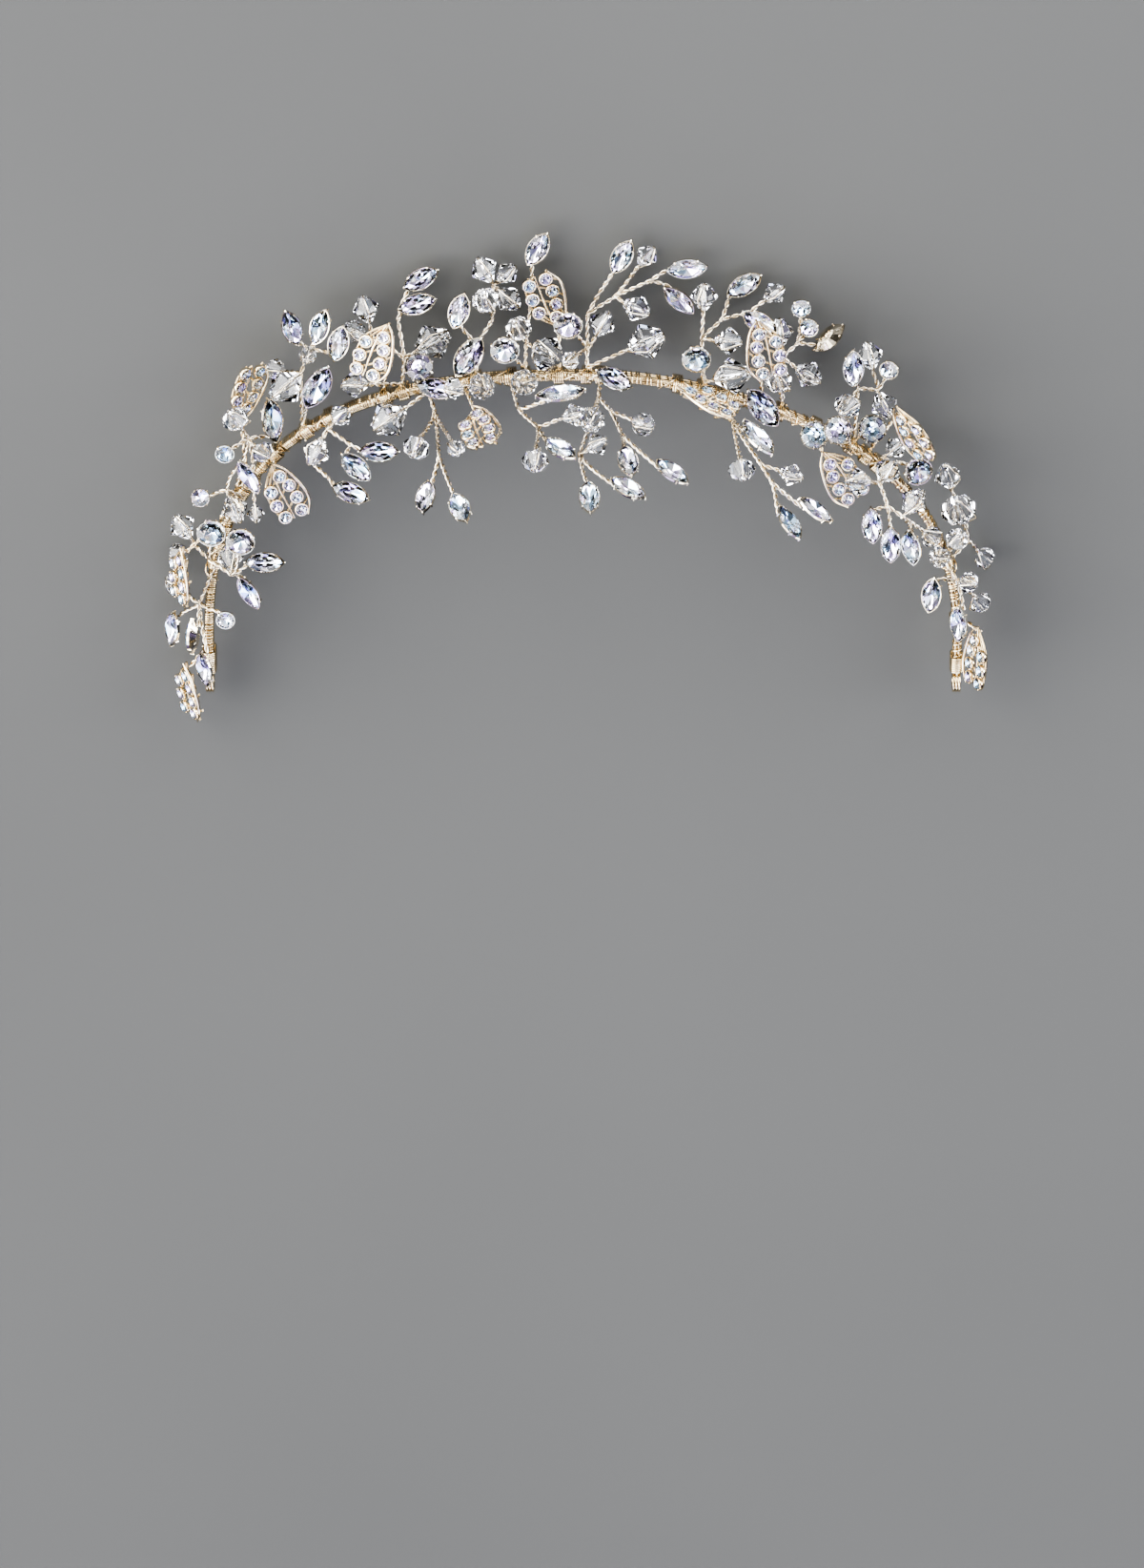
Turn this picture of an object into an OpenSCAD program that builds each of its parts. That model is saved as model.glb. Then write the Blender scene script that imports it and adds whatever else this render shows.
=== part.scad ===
// Crystal diadem of wired sprays on a slim wrapped band, lying on its side.
// X runs across the head, Y up to the crown of the band, Z to the worn front.
// The origin is midway between the two ends of the band, on the surface below.

/* [Band] */
// Half of the widest span between the two legs
half_span = 80; // [76:0.5:84]
// Height of the crown above the two ends
crown_height = 71; // [67:0.5:75]
// Squareness of the left shoulder across, where 2 is an ellipse
left_across = 2.5; // [2.3:0.05:2.7]
// Squareness of the left shoulder upwards
left_upward = 3; // [2.8:0.05:3.2]
// Squareness of the right shoulder across
right_across = 1.75; // [1.7:0.05:1.9]
// Squareness of the right shoulder upwards
right_upward = 2.9; // [2.7:0.05:3.1]
// Width of the band from its worn back to its worn front
band_width = 4.2; // [3.6:0.1:4.6]
// Thickness of the band, measured outwards from the head
band_thick = 2; // [1.6:0.1:2.4]
// Outer diameter of the eyelet at each end
eyelet_d = 5; // [4.4:0.1:6]
// Hole of the eyelet, for a hair pin
eyelet_hole_d = 2.4; // [2:0.1:3]

/* [Head] */
// Half of the head's width under the band
head_side = 77; // [74:0.5:79]
// Height of the head above the level of the band's ends
head_crown = 68; // [64:0.5:69]
// Depth of the head from the band's plane to its front
head_front = 84; // [80:0.5:90]
// Angle between the line of sight of the chart and the band's axis
chart_tilt = 30; // [28:0.5:32]

/* [Wire] */
// Diameter of a twisted pair of wires
twig_d = 0.9; // [0.8:0.05:1]
// Diameter of the single wire that runs through a bead
thread_d = 0.5; // [0.4:0.05:0.6]
// Length of the winding that ties a spray to the band
winding_length = 1.6; // [1.2:0.1:2]
// Thickness of that winding
winding_thick = 0.9; // [0.8:0.05:1]
// Free space between the winding and the band
winding_gap = 0.2; // [0.15:0.05:0.3]

/* [Marquises] */
// Length of a small marquise
marquise_length = 8; // [7:0.1:8.4]
// Width of a small marquise
marquise_width = 4; // [3.6:0.1:4.2]
// Length of a large marquise
large_marquise_length = 10; // [9:0.1:10.4]
// Width of a large marquise
large_marquise_width = 5; // [4.6:0.1:5.2]
// Height of a stone above its girdle
crown_rise = 0.9; // [0.7:0.05:1.1]
// Depth of a stone below its girdle
pavilion_depth = 1; // [0.8:0.05:1.2]

/* [Round stones] */
// Diameter of a chaton
chaton_d = 5.6; // [5:0.1:5.8]
// Diameter of a small chaton
small_chaton_d = 3.6; // [3.2:0.1:3.8]
// Diameter of a stone in a leaf
pave_d = 2; // [1.8:0.05:2.1]
// Depth of a stone in a leaf below its girdle
pave_depth = 0.5; // [0.4:0.05:0.6]

/* [Beads] */
// Diameter of a tiny bicone
tiny_bead_d = 4; // [3.6:0.1:4.2]
// Diameter of a small bicone
small_bead_d = 5; // [4.6:0.1:5.2]
// Diameter of a middle bicone
bead_d = 6; // [5.6:0.1:6.2]
// Diameter of a large bicone
large_bead_d = 8; // [7.4:0.1:8.2]
// Diameter of a round bead
round_bead_d = 5; // [4.6:0.1:5.2]
// Diameter of the hole through a bead
bead_hole_d = 0.9; // [0.8:0.05:1]

/* [Settings] */
// Wall of a setting around its stone
setting_wall = 0.45; // [0.35:0.05:0.55]
// Floor of a setting under its stone
setting_floor = 0.45; // [0.35:0.05:0.6]
// Free space between a stone and its setting
stone_gap = 0.12; // [0.1:0.01:0.15]

/* [Leaves] */
// Length of a leaf from its stem to its tip
leaf_length = 14; // [13:0.1:14.5]
// Width of a leaf from its rim to its scalloped edge
leaf_width = 8.5; // [8:0.1:9]
// Thickness of a leaf's plate
leaf_plate = 0.7; // [0.5:0.05:0.9]
// Height of the smooth rim above the plate
rim_height = 1.1; // [0.9:0.05:1.3]
// Width of the smooth rim
rim_width = 0.8; // [0.6:0.05:1]
// Height of a stone cup above the plate
cup_height = 0.8; // [0.7:0.05:1]

/* [Hidden] */
$fn = 24;
// Chart lengths are hundredths of half the span
share = half_span / 100;
// The small beads that hang lowest are this far under the band's middle, and rest on the
// surface
rest_reach = 7;
rest_height = rest_reach * share + small_bead_d / 2;
sight = [0, sin(chart_tilt), cos(chart_tilt)];
chart_up = [0, cos(chart_tilt), -sin(chart_tilt)];
head_middle = [0, -crown_height, 0];
head_radii = [head_side, head_crown, head_front];
band_rings = 44;
// The octagonal section of the band cuts this share of its thickness off each corner
corner_share = 0.3;
// A bicone's length, and its flat end, as shares of its diameter
bicone_length = 0.94;
bicone_end = 0.3;
bicone_sides = 8;
// The hole of every bead has this many sides
bead_hole_sides = 8;
// A stone's table as a share of its outline, and the steps of its outline
table_share = 0.6;
lens_steps = 4;
round_steps = 8;
pave_steps = 6;
// A twig's wire has this many sides, and runs past its ends by this share of its diameter
wire_sides = 5;
wire_overrun = 0.3;

// Kinds of stone and bead: name, form, length, width
KIND_NAME = 0;
KIND_FORM = 1;
KIND_LENGTH = 2;
KIND_WIDTH = 3;
KINDS = [
    ["m8", "marquise", marquise_length, marquise_width],
    ["m10", "marquise", large_marquise_length, large_marquise_width],
    ["c6", "chaton", chaton_d, chaton_d],
    ["c4", "chaton", small_chaton_d, small_chaton_d],
    ["b4", "bicone", tiny_bead_d * bicone_length, tiny_bead_d],
    ["b5", "bicone", small_bead_d * bicone_length, small_bead_d],
    ["b6", "bicone", bead_d * bicone_length, bead_d],
    ["b8", "bicone", large_bead_d * bicone_length, large_bead_d],
    ["r5", "round", round_bead_d, round_bead_d],
];

// A spray: where its wire is wound on the band, as a share of the way from the crown to
// an end, whether it is laid over the head, its joints, and its stones and beads
SPRAY_WAY = 0;
SPRAY_LAID = 1;
SPRAY_JOINTS = 2;
SPRAY_PIECES = 3;
// A joint: the joint before it, across, up, off. Off is the height over the head for a
// spray that is laid, and else the height over the band's middle plane
JOINT_FROM = 0;
JOINT_ACROSS = 1;
JOINT_UP = 2;
JOINT_OFF = 3;
// A piece: its joint, its kind, across, up, off, the angle its tip points to in the
// chart, and its turn about that line
PIECE_JOINT = 0;
PIECE_KIND = 1;
PIECE_ACROSS = 2;
PIECE_UP = 3;
PIECE_OFF = 4;
PIECE_POINT = 5;
PIECE_TURN = 6;

SPRAYS = [
    [-0.85, false, [
        [-1, -99, -48, 8],
        [0, -93, -52, 13],
        [-1, -103, -44, -3],
        [-1, -102, -59, 3],
    ], [
        [0, "c6", -98, -41.5, 14, -90, 0],
        [1, "c6", -90, -44, 21, -90, 0],
        [2, "b6", -106.5, -39, -3, 0, 0],
        [2, "b5", -108, -46, -7, 0, 0],
        [1, "b6", -93.5, -47.5, 8, 0, 0],
        [1, "m8", -84, -49, 16, 0, 0],
        [1, "m8", -88.5, -57, 14, -60, 40],
        [3, "b5", -109, -54, -4.5, 0, 0],
        [3, "m8", -110, -66, -1, -95, 50],
        [3, "m8", -104.5, -68, 6, -92, 110],
        [3, "m8", -101, -77, 12, -80, 50],
        [3, "c4", -95, -64, 10, -90, 0],
    ]],
    [-0.68, false, [
        [-1, -94, -30, 6],
        [-1, -88, -17, 6],
    ], [
        [0, "c4", -101, -32, 7, 180, 0],
        [0, "m8", -88, -27, 12, -60, 45],
        [0, "b6", -92, -35, 8, 0, 0],
        [1, "b4", -86.5, -36, 7, 0, 0],
        [1, "c4", -94, -21, 12, 90, 0],
        [1, "b6", -91, -12, 12, 0, 0],
        [1, "b5", -84, -20.5, 13, 0, 0],
        [1, "m10", -81.5, -12, 4, 100, 40],
    ]],
    [-0.47, false, [
        [-1, -74, 0, 2],
        [0, -72, 6, 0],
    ], [
        [0, "b5", -81, 1.5, -5, 0, 0],
        [0, "b8", -78, -3.5, 6, 0, 0],
        [-1, "m10", -69.5, -4, 10, 60, 20],
        [1, "b4", -72, 4.5, 6, 0, 0],
        [1, "m8", -76, 11.5, 4, 112, 20],
        [1, "m8", -69, 12, 0, 68, -20],
        [1, "m8", -64, 7.5, 4.5, 75, 0],
    ]],
    [-0.41, false, [
        [-1, -67, -14, 8],
        [0, -61, -18.5, 13],
        [-1, -72, -21, 5],
        [2, -67, -27, 12],
    ], [
        [0, "b6", -70, -20.5, 12, 0, 0],
        [0, "b5", -63.5, -11, 10, 0, 0],
        [1, "m8", -53.5, -20.5, 16, 0, 0],
        [1, "m8", -59.5, -24.5, 17, -42, 0],
        [3, "m8", -61, -31, 16, -20, 0],
    ]],
    [-0.255, false, [
        [-1, -47, 4, 0],
        [0, -48.5, 14, -3],
        [0, -55, 9, -4],
    ], [
        [1, "m8", -42.5, 24.5, -5, 27, 0],
        [1, "m8", -43.5, 18, -3, 15, 0],
        [0, "b8", -39.5, 8.5, -3, 0, 0],
        [0, "c6", -43, 1.5, 7, 0, 0],
        [0, "m8", -38.5, -4, 7, -12, 0],
        [2, "b6", -57, 17, -5, 0, 0],
        [2, "r5", -60, 11, -1, 0, 0],
        [-1, "b6", -60, -3, 7, 0, 0],
    ]],
    [-0.21, true, [
        [-1, -39, -9.5, 4],
        [0, -37.5, -22, 4],
    ], [
        [-1, "b8", -51, -12, 7, 0, 0],
        [0, "b6", -43.5, -20, 7, 0, 0],
        [0, "b4", -33, -20.5, 8, 0, 0],
        [1, "m8", -41, -33, 5, -98, 0],
        [1, "m8", -32, -36, 5, -64, 0],
    ]],
    [-0.13, false, [
        [-1, -28, 7, -2],
        [0, -24, 14, -4],
        [1, -23.5, 23, -6],
    ], [
        [0, "m8", -32.5, 16, 1, 72, 0],
        [0, "m10", -30, 4, 7, 55, 0],
        [2, "b6", -26, 27, -6, 0, 0],
        [2, "b5", -20, 26, -6, 0, 0],
        [2, "b6", -19.5, 19.5, -6, 0, 0],
        [1, "b6", -25.5, 18.5, 4, 0, 0],
        [-1, "b5", -34, -4, 10, 0, 0],
        [-1, "b6", -26.5, -3.5, 9, 0, 0],
    ]],
    [-0.06, false, [
        [-1, -15, 8, -4],
        [0, -13.5, 21, -6.5],
    ], [
        [1, "m8", -12, 32, -5, 57, 0],
        [-1, "c6", -20.5, 5.5, 9, 90, 0],
        [0, "b6", -17, 11.5, 2, 0, 0],
        [-1, "b6", -15.5, -2.5, 9, 0, 0],
        [0, "b8", -9.5, 5, 3, 0, 0],
    ]],
    [-0.08, true, [
        [-1, -17, -9.5, 4],
        [0, -12, -14.5, 4],
    ], [
        [1, "b6", -12.5, -24, 6, 0, 0],
        [1, "m8", -6, -20.5, 7, -35, 0],
        [1, "b5", -2.5, -11.5, 6, 0, 0],
        [0, "m10", -6, -5.5, 9, 8, 0],
    ]],
    [0.042, true, [
        [-1, 4, -6, 3],
        [0, 7, -10, 3],
        [1, 10, -16.5, 3],
        [0, -1, -22, 2],
    ], [
        [0, "b6", 2, -13, 8, 0, 0],
        [3, "b5", 3.5, -19.5, 6, 0, 0],
        [3, "m8", 1.5, -33.5, 5, -86, 0],
        [3, "m8", 11.5, -31, 5, -30, 0],
        [2, "m8", 11.5, -24, 9, -78, 0],
        [2, "m8", 23, -26.5, 5, -38, 0],
        [1, "r5", 15.5, -14, 5, 0, 0],
    ]],
    [0.01, false, [
        [-1, 1, 6, -2],
        [0, 1, 15, -4],
        [1, 8, 20, -6],
        [2, 17, 24, -6],
    ], [
        [0, "b6", 5, 13, -1, 0, 0],
        [0, "c6", -4, 12, 5, 90, 0],
        [0, "b4", -3.5, 3, 9, 0, 0],
        [1, "m8", 10, 30, -4, 60, 0],
        [2, "b5", 16.5, 30.5, -7, 0, 0],
        [3, "m8", 27, 27, -5, 5, 30],
        [3, "m8", 25, 19, -5, -40, 40],
        [2, "b6", 14, 17, -3, 0, 0],
        [-1, "b8", 16.5, 8.5, -1, 0, 0],
        [-1, "m8", 8, -1.5, 8, -25, 0],
    ]],
    [0.235, false, [
        [-1, 31, 9, -2],
        [0, 36, 14, -4],
        [1, 43, 16, -5],
    ], [
        [0, "b6", 31.5, 20, -3, 0, 0],
        [-1, "c6", 29.5, 3.5, 5, 90, 0],
        [1, "m8", 42, 23, -6, 30, 20],
        [2, "b5", 50, 21, -6, 0, 0],
        [2, "m8", 46, 13, 2, -30, 20],
        [0, "b6", 38, 8.5, 1, 0, 0],
        [-1, "b8", 39, -0.5, 3, 0, 0],
    ]],
    [0.378, false, [
        [-1, 52, 4, -1],
        [0, 56, 8, -3],
    ], [
        [1, "c4", 57, 17, -5, 90, 0],
        [1, "c4", 59, 12, -3, 60, 0],
        [0, "b6", 51.5, 11, -3, 0, 0],
        [1, "m8", 64.5, 9.5, -4, 40, 150],
        [-1, "b6", 51, -2, 6, 0, 0],
        [0, "b6", 59, 0, 1, 0, 0],
        [-1, "m10", 47, -9, 9, -50, 0],
    ]],
    [0.29, true, [
        [-1, 39, -12, 4],
        [0, 46, -24, 4],
        [1, 49, -29, 4],
    ], [
        [0, "m10", 45.5, -17, 9, -52, 0],
        [0, "b6", 41, -26, 6, 0, 0],
        [1, "b5", 54, -27, 7, 0, 0],
        [2, "m8", 53.5, -39.5, 5, -60, 0],
        [2, "m8", 60.5, -36, 5, -35, 0],
    ]],
    [0.525, false, [
        [-1, 72, -4, 2],
        [0, 77, -4, 0],
    ], [
        [1, "b6", 75, 5, -1, 0, 0],
        [1, "c4", 80, 1, 1, 60, 0],
        [0, "m8", 70.5, 1, 7, 90, 0],
        [1, "b6", 79, -8, 2, 0, 0],
        [0, "b6", 69, -8.5, 9, 0, 0],
        [-1, "c6", 60.5, -16, 12, 200, 0],
        [-1, "c6", 66.5, -15, 16, 200, 0],
        [-1, "c6", 75.5, -14.5, 12, 0, 0],
    ]],
    [0.59, false, [
        [-1, 78, -28, 8],
        [0, 80, -34, 11],
        [1, 84, -37, 12],
    ], [
        [0, "b6", 72, -28, 12, 0, 0],
        [0, "b6", 80, -25, 9, 0, 0],
        [-1, "b5", 82.5, -18.5, -3, 0, 0],
        [2, "b6", 87, -33, 10, 0, 0],
        [1, "m8", 76, -39.5, 13, -85, 0],
        [1, "m8", 81, -44.5, 14, -88, 0],
        [2, "m8", 86.5, -45, 10, -80, 30],
        [2, "b5", 92, -42, 6, 0, 0],
        [-1, "c6", 88.5, -25, 1, -60, 0],
    ]],
    [0.84, false, [
        [-1, 97, -46, 4],
        [-1, 99, -53, 6],
        [-1, 102, -43, -2],
    ], [
        [2, "b6", 96, -26, 2, 0, 0],
        [2, "b8", 99, -35, 6, 0, 0],
        [1, "m8", 92, -57.5, 14, -98, 20],
        [1, "m8", 99.5, -65, 11, -90, 40],
        [0, "b5", 94, -47.5, 13, 0, 0],
        [0, "b5", 98.5, -42.8, 12.5, 0, 0],
        [1, "b5", 102, -54, 11, 0, 0],
        [2, "b5", 107, -47, -7, 0, 0],
        [1, "b5", 106, -59, 0, 0, 0],
    ]],
];

// A leaf: its place on the band, whether it is laid over the head, across, up, off, the
// angle its tip points to, its turn, and the side of its smooth rim
LEAF_WAY = 0;
LEAF_LAID = 1;
LEAF_ACROSS = 2;
LEAF_UP = 3;
LEAF_OFF = 4;
LEAF_POINT = 5;
LEAF_TURN = 6;
LEAF_RIM_SIDE = 7;
LEAVES = [
    [-0.56, false, -78, -29.5, 7, -60, 0, 1],
    [-0.64, false, -88, -4, 0, 70, 50, -1],
    [-0.29, false, -53, 5.5, 9, -110, 0, 1],
    [-0.15, true, -26, -15, 5, -66, 0, 1],
    [-0.02, false, -8.5, 19.5, -5.5, 110, 0, -1],
    [0.19, true, 31.5, -8.5, 7, -30, 0, -1],
    [0.34, false, 46, 6, 11, -80, 0, -1],
    [0.45, false, 66.5, -26.5, 7, -58, 0, -1],
    [0.56, false, 86, -15, 10, -60, 60, -1],
    [-0.775, false, -105.5, -52, 4, -90, 60, 1],
    [-0.99, false, -104.5, -82, 0, -80, 60, 1],
    [0.95, false, 105, -73, 6, -95, 60, -1],
];

// Outline of a leaf's plate and of its vein, and the seats of its stones: shares of the
// leaf's length and width, the first point at the stem and then round by the rim
LEAF_PLATE = [
    [-0.5, 0], [-0.32, 0.2], [0, 0.34], [0.28, 0.35], [0.5, 0.14],
    [0.46, -0.36], [0.3, -0.52], [0, -0.54], [-0.22, -0.42], [-0.42, -0.18],
];
LEAF_RIM_POINTS = 5;
LEAF_VEIN = [[-0.46, -0.04], [-0.14, -0.17], [0.46, -0.2]];
LEAF_SEATS = [
    [-0.27, -0.02], [-0.07, 0.08], [0.16, 0.1], [0.38, 0.04],
    [-0.11, -0.4], [0.13, -0.44], [0.36, -0.4],
];
vein_width = 0.5;
// The twig is soldered under the plate at this share of the length from the leaf's middle
leaf_stem = 0.4;

function unit(v) = v / norm(v);

// The band's middle line, from -1 at the left end over 0 at the crown to 1
function band_point(way) =
    let (
        turn = 90 * (1 - abs(way)),
        across = pow(cos(turn), 2 / (way < 0 ? left_across : right_across)),
        upward = pow(sin(turn), 2 / (way < 0 ? left_upward : right_upward))
    )
    [sign(way) * half_span * across, crown_height * (upward - 1), 0];
function band_tangent(way) =
    let (step = 0.004, low = max(way - step, -1), high = min(way + step, 1))
    unit(band_point(high) - band_point(low));
function outward(tangent) = [-tangent[1], tangent[0], 0];

// A place from the chart: on a plane over the band's middle, or over the head
function standing(across, up, rise) =
    [across * share, (up + rise * sin(chart_tilt)) * share / cos(chart_tilt), rise * share];
function over_head(across, up, lift) =
    let (
        seen = [across * share, 0, 0] + up * share * chart_up,
        radii = head_radii + [1, 1, 1] * lift * share,
        from = [for (i = [0:2]) (seen[i] - head_middle[i]) / radii[i]],
        line = [for (i = [0:2]) sight[i] / radii[i]],
        half_b = from * line,
        a = line * line,
        left = max(half_b * half_b - a * (from * from - 1), 0)
    ) seen + sight * (sqrt(left) - half_b) / a;
function place(laid, across, up, off) =
    laid ? over_head(across, up, off) : standing(across, up, off);
function facing(laid, p) =
    laid ? unit([for (i = [0:2]) (p[i] - head_middle[i]) / pow(head_radii[i], 2)]) : sight;

// Frames are lists of a place and three directions: long, side and face. Aside keeps the
// face of a bead whose wire runs along the line of sight from being undefined
aside = [0.05, 0, 0];
function turned(long, face, turn) =
    let (side = unit(cross(face, long)), straight = cross(long, side))
    [long, side * cos(turn) + straight * sin(turn), straight * cos(turn) - side * sin(turn)];
function chart_frame(laid, across, up, off, point, turn) =
    let (
        middle = place(laid, across, up, off),
        ahead = place(laid, across + cos(point), up + sin(point), off),
        axes = turned(unit(ahead - middle), facing(laid, middle), turn)
    ) [middle, axes[0], axes[1], axes[2]];
function frame_matrix(f) = [
    [f[1][0], f[2][0], f[3][0], f[0][0]],
    [f[1][1], f[2][1], f[3][1], f[0][1]],
    [f[1][2], f[2][2], f[3][2], f[0][2]],
    [0, 0, 0, 1],
];
function in_frame(f, v) = f[0] + f[1] * v[0] + f[2] * v[1] + f[3] * v[2];

function kind_of(piece) = KINDS[search([piece[PIECE_KIND]], KINDS)[0]];
function joint_at(spray, number) =
    let (j = spray[SPRAY_JOINTS][number])
    place(spray[SPRAY_LAID], j[JOINT_ACROSS], j[JOINT_UP], j[JOINT_OFF]);
// Where a twig starts on its winding: the side of the winding that faces the target
function winding_start(way, target) =
    let (
        p = band_point(way),
        out = outward(band_tangent(way)),
        d = target - p,
        reach = winding_gap + winding_thick / 2,
        level = abs(d * out) > abs(d[2])
    )
    level ? p + sign(d * out) * (band_thick / 2 + reach) * out
        : p + [0, 0, sign(d[2]) * (band_width / 2 + reach)];
function twig_start(spray, number, target) =
    number < 0 ? winding_start(spray[SPRAY_WAY], target) : joint_at(spray, number);
function piece_middle(spray, piece) =
    place(spray[SPRAY_LAID], piece[PIECE_ACROSS], piece[PIECE_UP], piece[PIECE_OFF]);
function is_bead(kind) = kind[KIND_FORM] == "bicone" || kind[KIND_FORM] == "round";
function piece_frame(spray, piece) =
    let (
        middle = piece_middle(spray, piece),
        start = twig_start(spray, piece[PIECE_JOINT], middle)
    )
    is_bead(kind_of(piece))
        ? let (axes = turned(unit(middle - start), sight + aside, 0))
          [middle, axes[0], axes[1], axes[2]]
        : chart_frame(spray[SPRAY_LAID], piece[PIECE_ACROSS], piece[PIECE_UP],
            piece[PIECE_OFF], piece[PIECE_POINT], piece[PIECE_TURN]);

// Outlines
function lens(long, wide) =
    let (
        radius = (long * long + wide * wide) / (4 * wide),
        half_angle = asin(long / 2 / radius),
        step = 2 * half_angle / lens_steps
    ) [
        for (k = [0:lens_steps - 1])
            let (a = k * step - half_angle)
            [-radius * sin(a), radius * cos(a) - radius + wide / 2],
        for (k = [0:lens_steps - 1])
            let (a = half_angle - k * step)
            [-radius * sin(a), radius - radius * cos(a) - wide / 2],
    ];
function ring_outline(d, steps) =
    [for (k = [0:steps - 1]) [cos(360 * (k + 0.5) / steps), sin(360 * (k + 0.5) / steps)] * d / 2];
function octagon(wide, high) =
    let (cut = corner_share * min(wide, high), x = wide / 2, y = high / 2) [
        [x, y - cut], [x - cut, y], [cut - x, y], [-x, y - cut],
        [-x, cut - y], [cut - x, -y], [x - cut, -y], [x, cut - y],
    ];
function lifted(outline, z) = [for (p = outline) [p[0], p[1], z]];

// A closed solid through rings of as many points each, counter-clockwise from above, that
// starts in a point or in a flat cap
module ring_stack(rings, tip) {
    count = len(rings[0]);
    last = len(rings) - 1;
    sides = [
        for (i = [0:last - 1], k = [0:count - 1])
            let (a = i * count + k, b = i * count + (k + 1) % count)
            each [[a, a + count, b], [b, a + count, b + count]],
    ];
    low = is_undef(tip)
        ? [for (k = [1:count - 2]) [0, k, k + 1]]
        : [for (k = [0:count - 1]) [count * (last + 1), k, (k + 1) % count]];
    high = [for (k = [1:count - 2]) [last * count, last * count + k + 1, last * count + k]];
    points = [for (r = rings) each r];
    polyhedron(is_undef(tip) ? points : concat(points, [tip]), concat(sides, low, high));
}

module rod(from, to, d) {
    v = to - from;
    over = wire_overrun * d;
    translate(from)
        rotate([0, acos(v[2] / norm(v)), atan2(v[1], v[0])])
            translate([0, 0, -over])
                cylinder(h = norm(v) + 2 * over, d = d, $fn = wire_sides);
}

module cut_stone(outline, table, rise, depth) {
    ring_stack([outline, lifted(table, rise)], [0, 0, -depth]);
}

module marquise(long, wide) {
    cut_stone(lifted(lens(long, wide), 0), lens(long * table_share, wide * table_share),
        crown_rise, pavilion_depth);
}

module chaton(d) {
    cut_stone(lifted(ring_outline(d, round_steps), 0), ring_outline(d * table_share, round_steps),
        crown_rise, pavilion_depth);
}

module bead_hole(long) {
    cylinder(h = 2 * long, d = bead_hole_d, center = true, $fn = bead_hole_sides);
}

module bicone(long, d) {
    end = ring_outline(d * bicone_end, bicone_sides);
    belt = ring_outline(d, bicone_sides);
    rotate([0, 90, 0])
        difference() {
            ring_stack([lifted(end, -long / 2), lifted(belt, 0), lifted(end, long / 2)]);
            bead_hole(long);
        }
}

module round_bead(d) {
    rotate([0, 90, 0])
        difference() {
            sphere(d = d);
            bead_hole(d);
        }
}

// A setting is a tray with a wall round the girdle. The twig is soldered under it, at this
// share of a marquise's length from its middle
setting_stem = 0.34;
tray_depth = pavilion_depth + stone_gap + setting_floor;

module tray(outer, inner) {
    difference() {
        translate([0, 0, -tray_depth]) linear_extrude(tray_depth + stone_gap) polygon(outer);
        translate([0, 0, setting_floor - tray_depth]) linear_extrude(tray_depth) polygon(inner);
    }
}

module marquise_setting(long, wide) {
    slack = 2 * stone_gap;
    wall = 2 * setting_wall;
    tray(lens(long + 2 * (slack + wall), wide + slack + wall), lens(long + 2 * slack, wide + slack));
}

module chaton_setting(d) {
    outer = d + 2 * (stone_gap + setting_wall);
    tray(ring_outline(outer, round_steps), ring_outline(d + 2 * stone_gap, round_steps));
}

// The end of a twig: under a setting's near end, or through a bead to a ball beyond it
module twig_end(spray, piece) {
    kind = kind_of(piece);
    f = piece_frame(spray, piece);
    start = twig_start(spray, piece[PIECE_JOINT], f[0]);
    long = kind[KIND_LENGTH];
    if (is_bead(kind)) {
        past = long / 2 + 2 * stone_gap + wire_overrun * twig_d;
        far = in_frame(f, [past, 0, 0]);
        rod(start, in_frame(f, [-past, 0, 0]), twig_d);
        rod(start, far, thread_d);
        rod(far, in_frame(f, [past + twig_d / 2, 0, 0]), twig_d);
    } else {
        back = kind[KIND_FORM] == "marquise" ? -long * setting_stem : 0;
        under = in_frame(f, [back, 0, -tray_depth - twig_d / 8]);
        rod(start, under, twig_d);
        multmatrix(frame_matrix(f))
            if (kind[KIND_FORM] == "marquise") marquise_setting(long, kind[KIND_WIDTH]);
            else chaton_setting(long);
    }
}

module winding(way) {
    t = band_tangent(way);
    out = outward(t);
    gap = 2 * winding_gap;
    wall = 2 * winding_thick;
    multmatrix(frame_matrix([band_point(way), out, [0, 0, 1], t]))
        linear_extrude(winding_length, center = true)
            difference() {
                square([band_thick + gap + wall, band_width + gap + wall], center = true);
                square([band_thick + gap, band_width + gap], center = true);
            }
}

module lie_down() {
    translate([0, crown_height, rest_height]) children();
}

module spray_wire(spray) {
    color("goldenrod") lie_down() {
        winding(spray[SPRAY_WAY]);
        for (n = [0:1:len(spray[SPRAY_JOINTS]) - 1]) {
            p = joint_at(spray, n);
            from = spray[SPRAY_JOINTS][n][JOINT_FROM];
            rod(twig_start(spray, from, p), p, twig_d);
        }
        for (piece = spray[SPRAY_PIECES]) twig_end(spray, piece);
    }
}

module spray_crystals(spray) {
    color("lightcyan") lie_down()
        for (piece = spray[SPRAY_PIECES]) {
            kind = kind_of(piece);
            long = kind[KIND_LENGTH];
            multmatrix(frame_matrix(piece_frame(spray, piece)))
                if (kind[KIND_FORM] == "marquise") marquise(long, kind[KIND_WIDTH]);
                else if (kind[KIND_FORM] == "chaton") chaton(long);
                else if (kind[KIND_FORM] == "bicone") bicone(long, kind[KIND_WIDTH]);
                else round_bead(long);
        }
}

function leaf_frame(leaf) =
    let (
        f = chart_frame(leaf[LEAF_LAID], leaf[LEAF_ACROSS], leaf[LEAF_UP],
            leaf[LEAF_OFF], leaf[LEAF_POINT], leaf[LEAF_TURN])
    ) [f[0], f[1], f[2] * leaf[LEAF_RIM_SIDE], f[3]];
function leaf_points(shares) = [for (p = shares) [p[0] * leaf_length, p[1] * leaf_width]];
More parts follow.
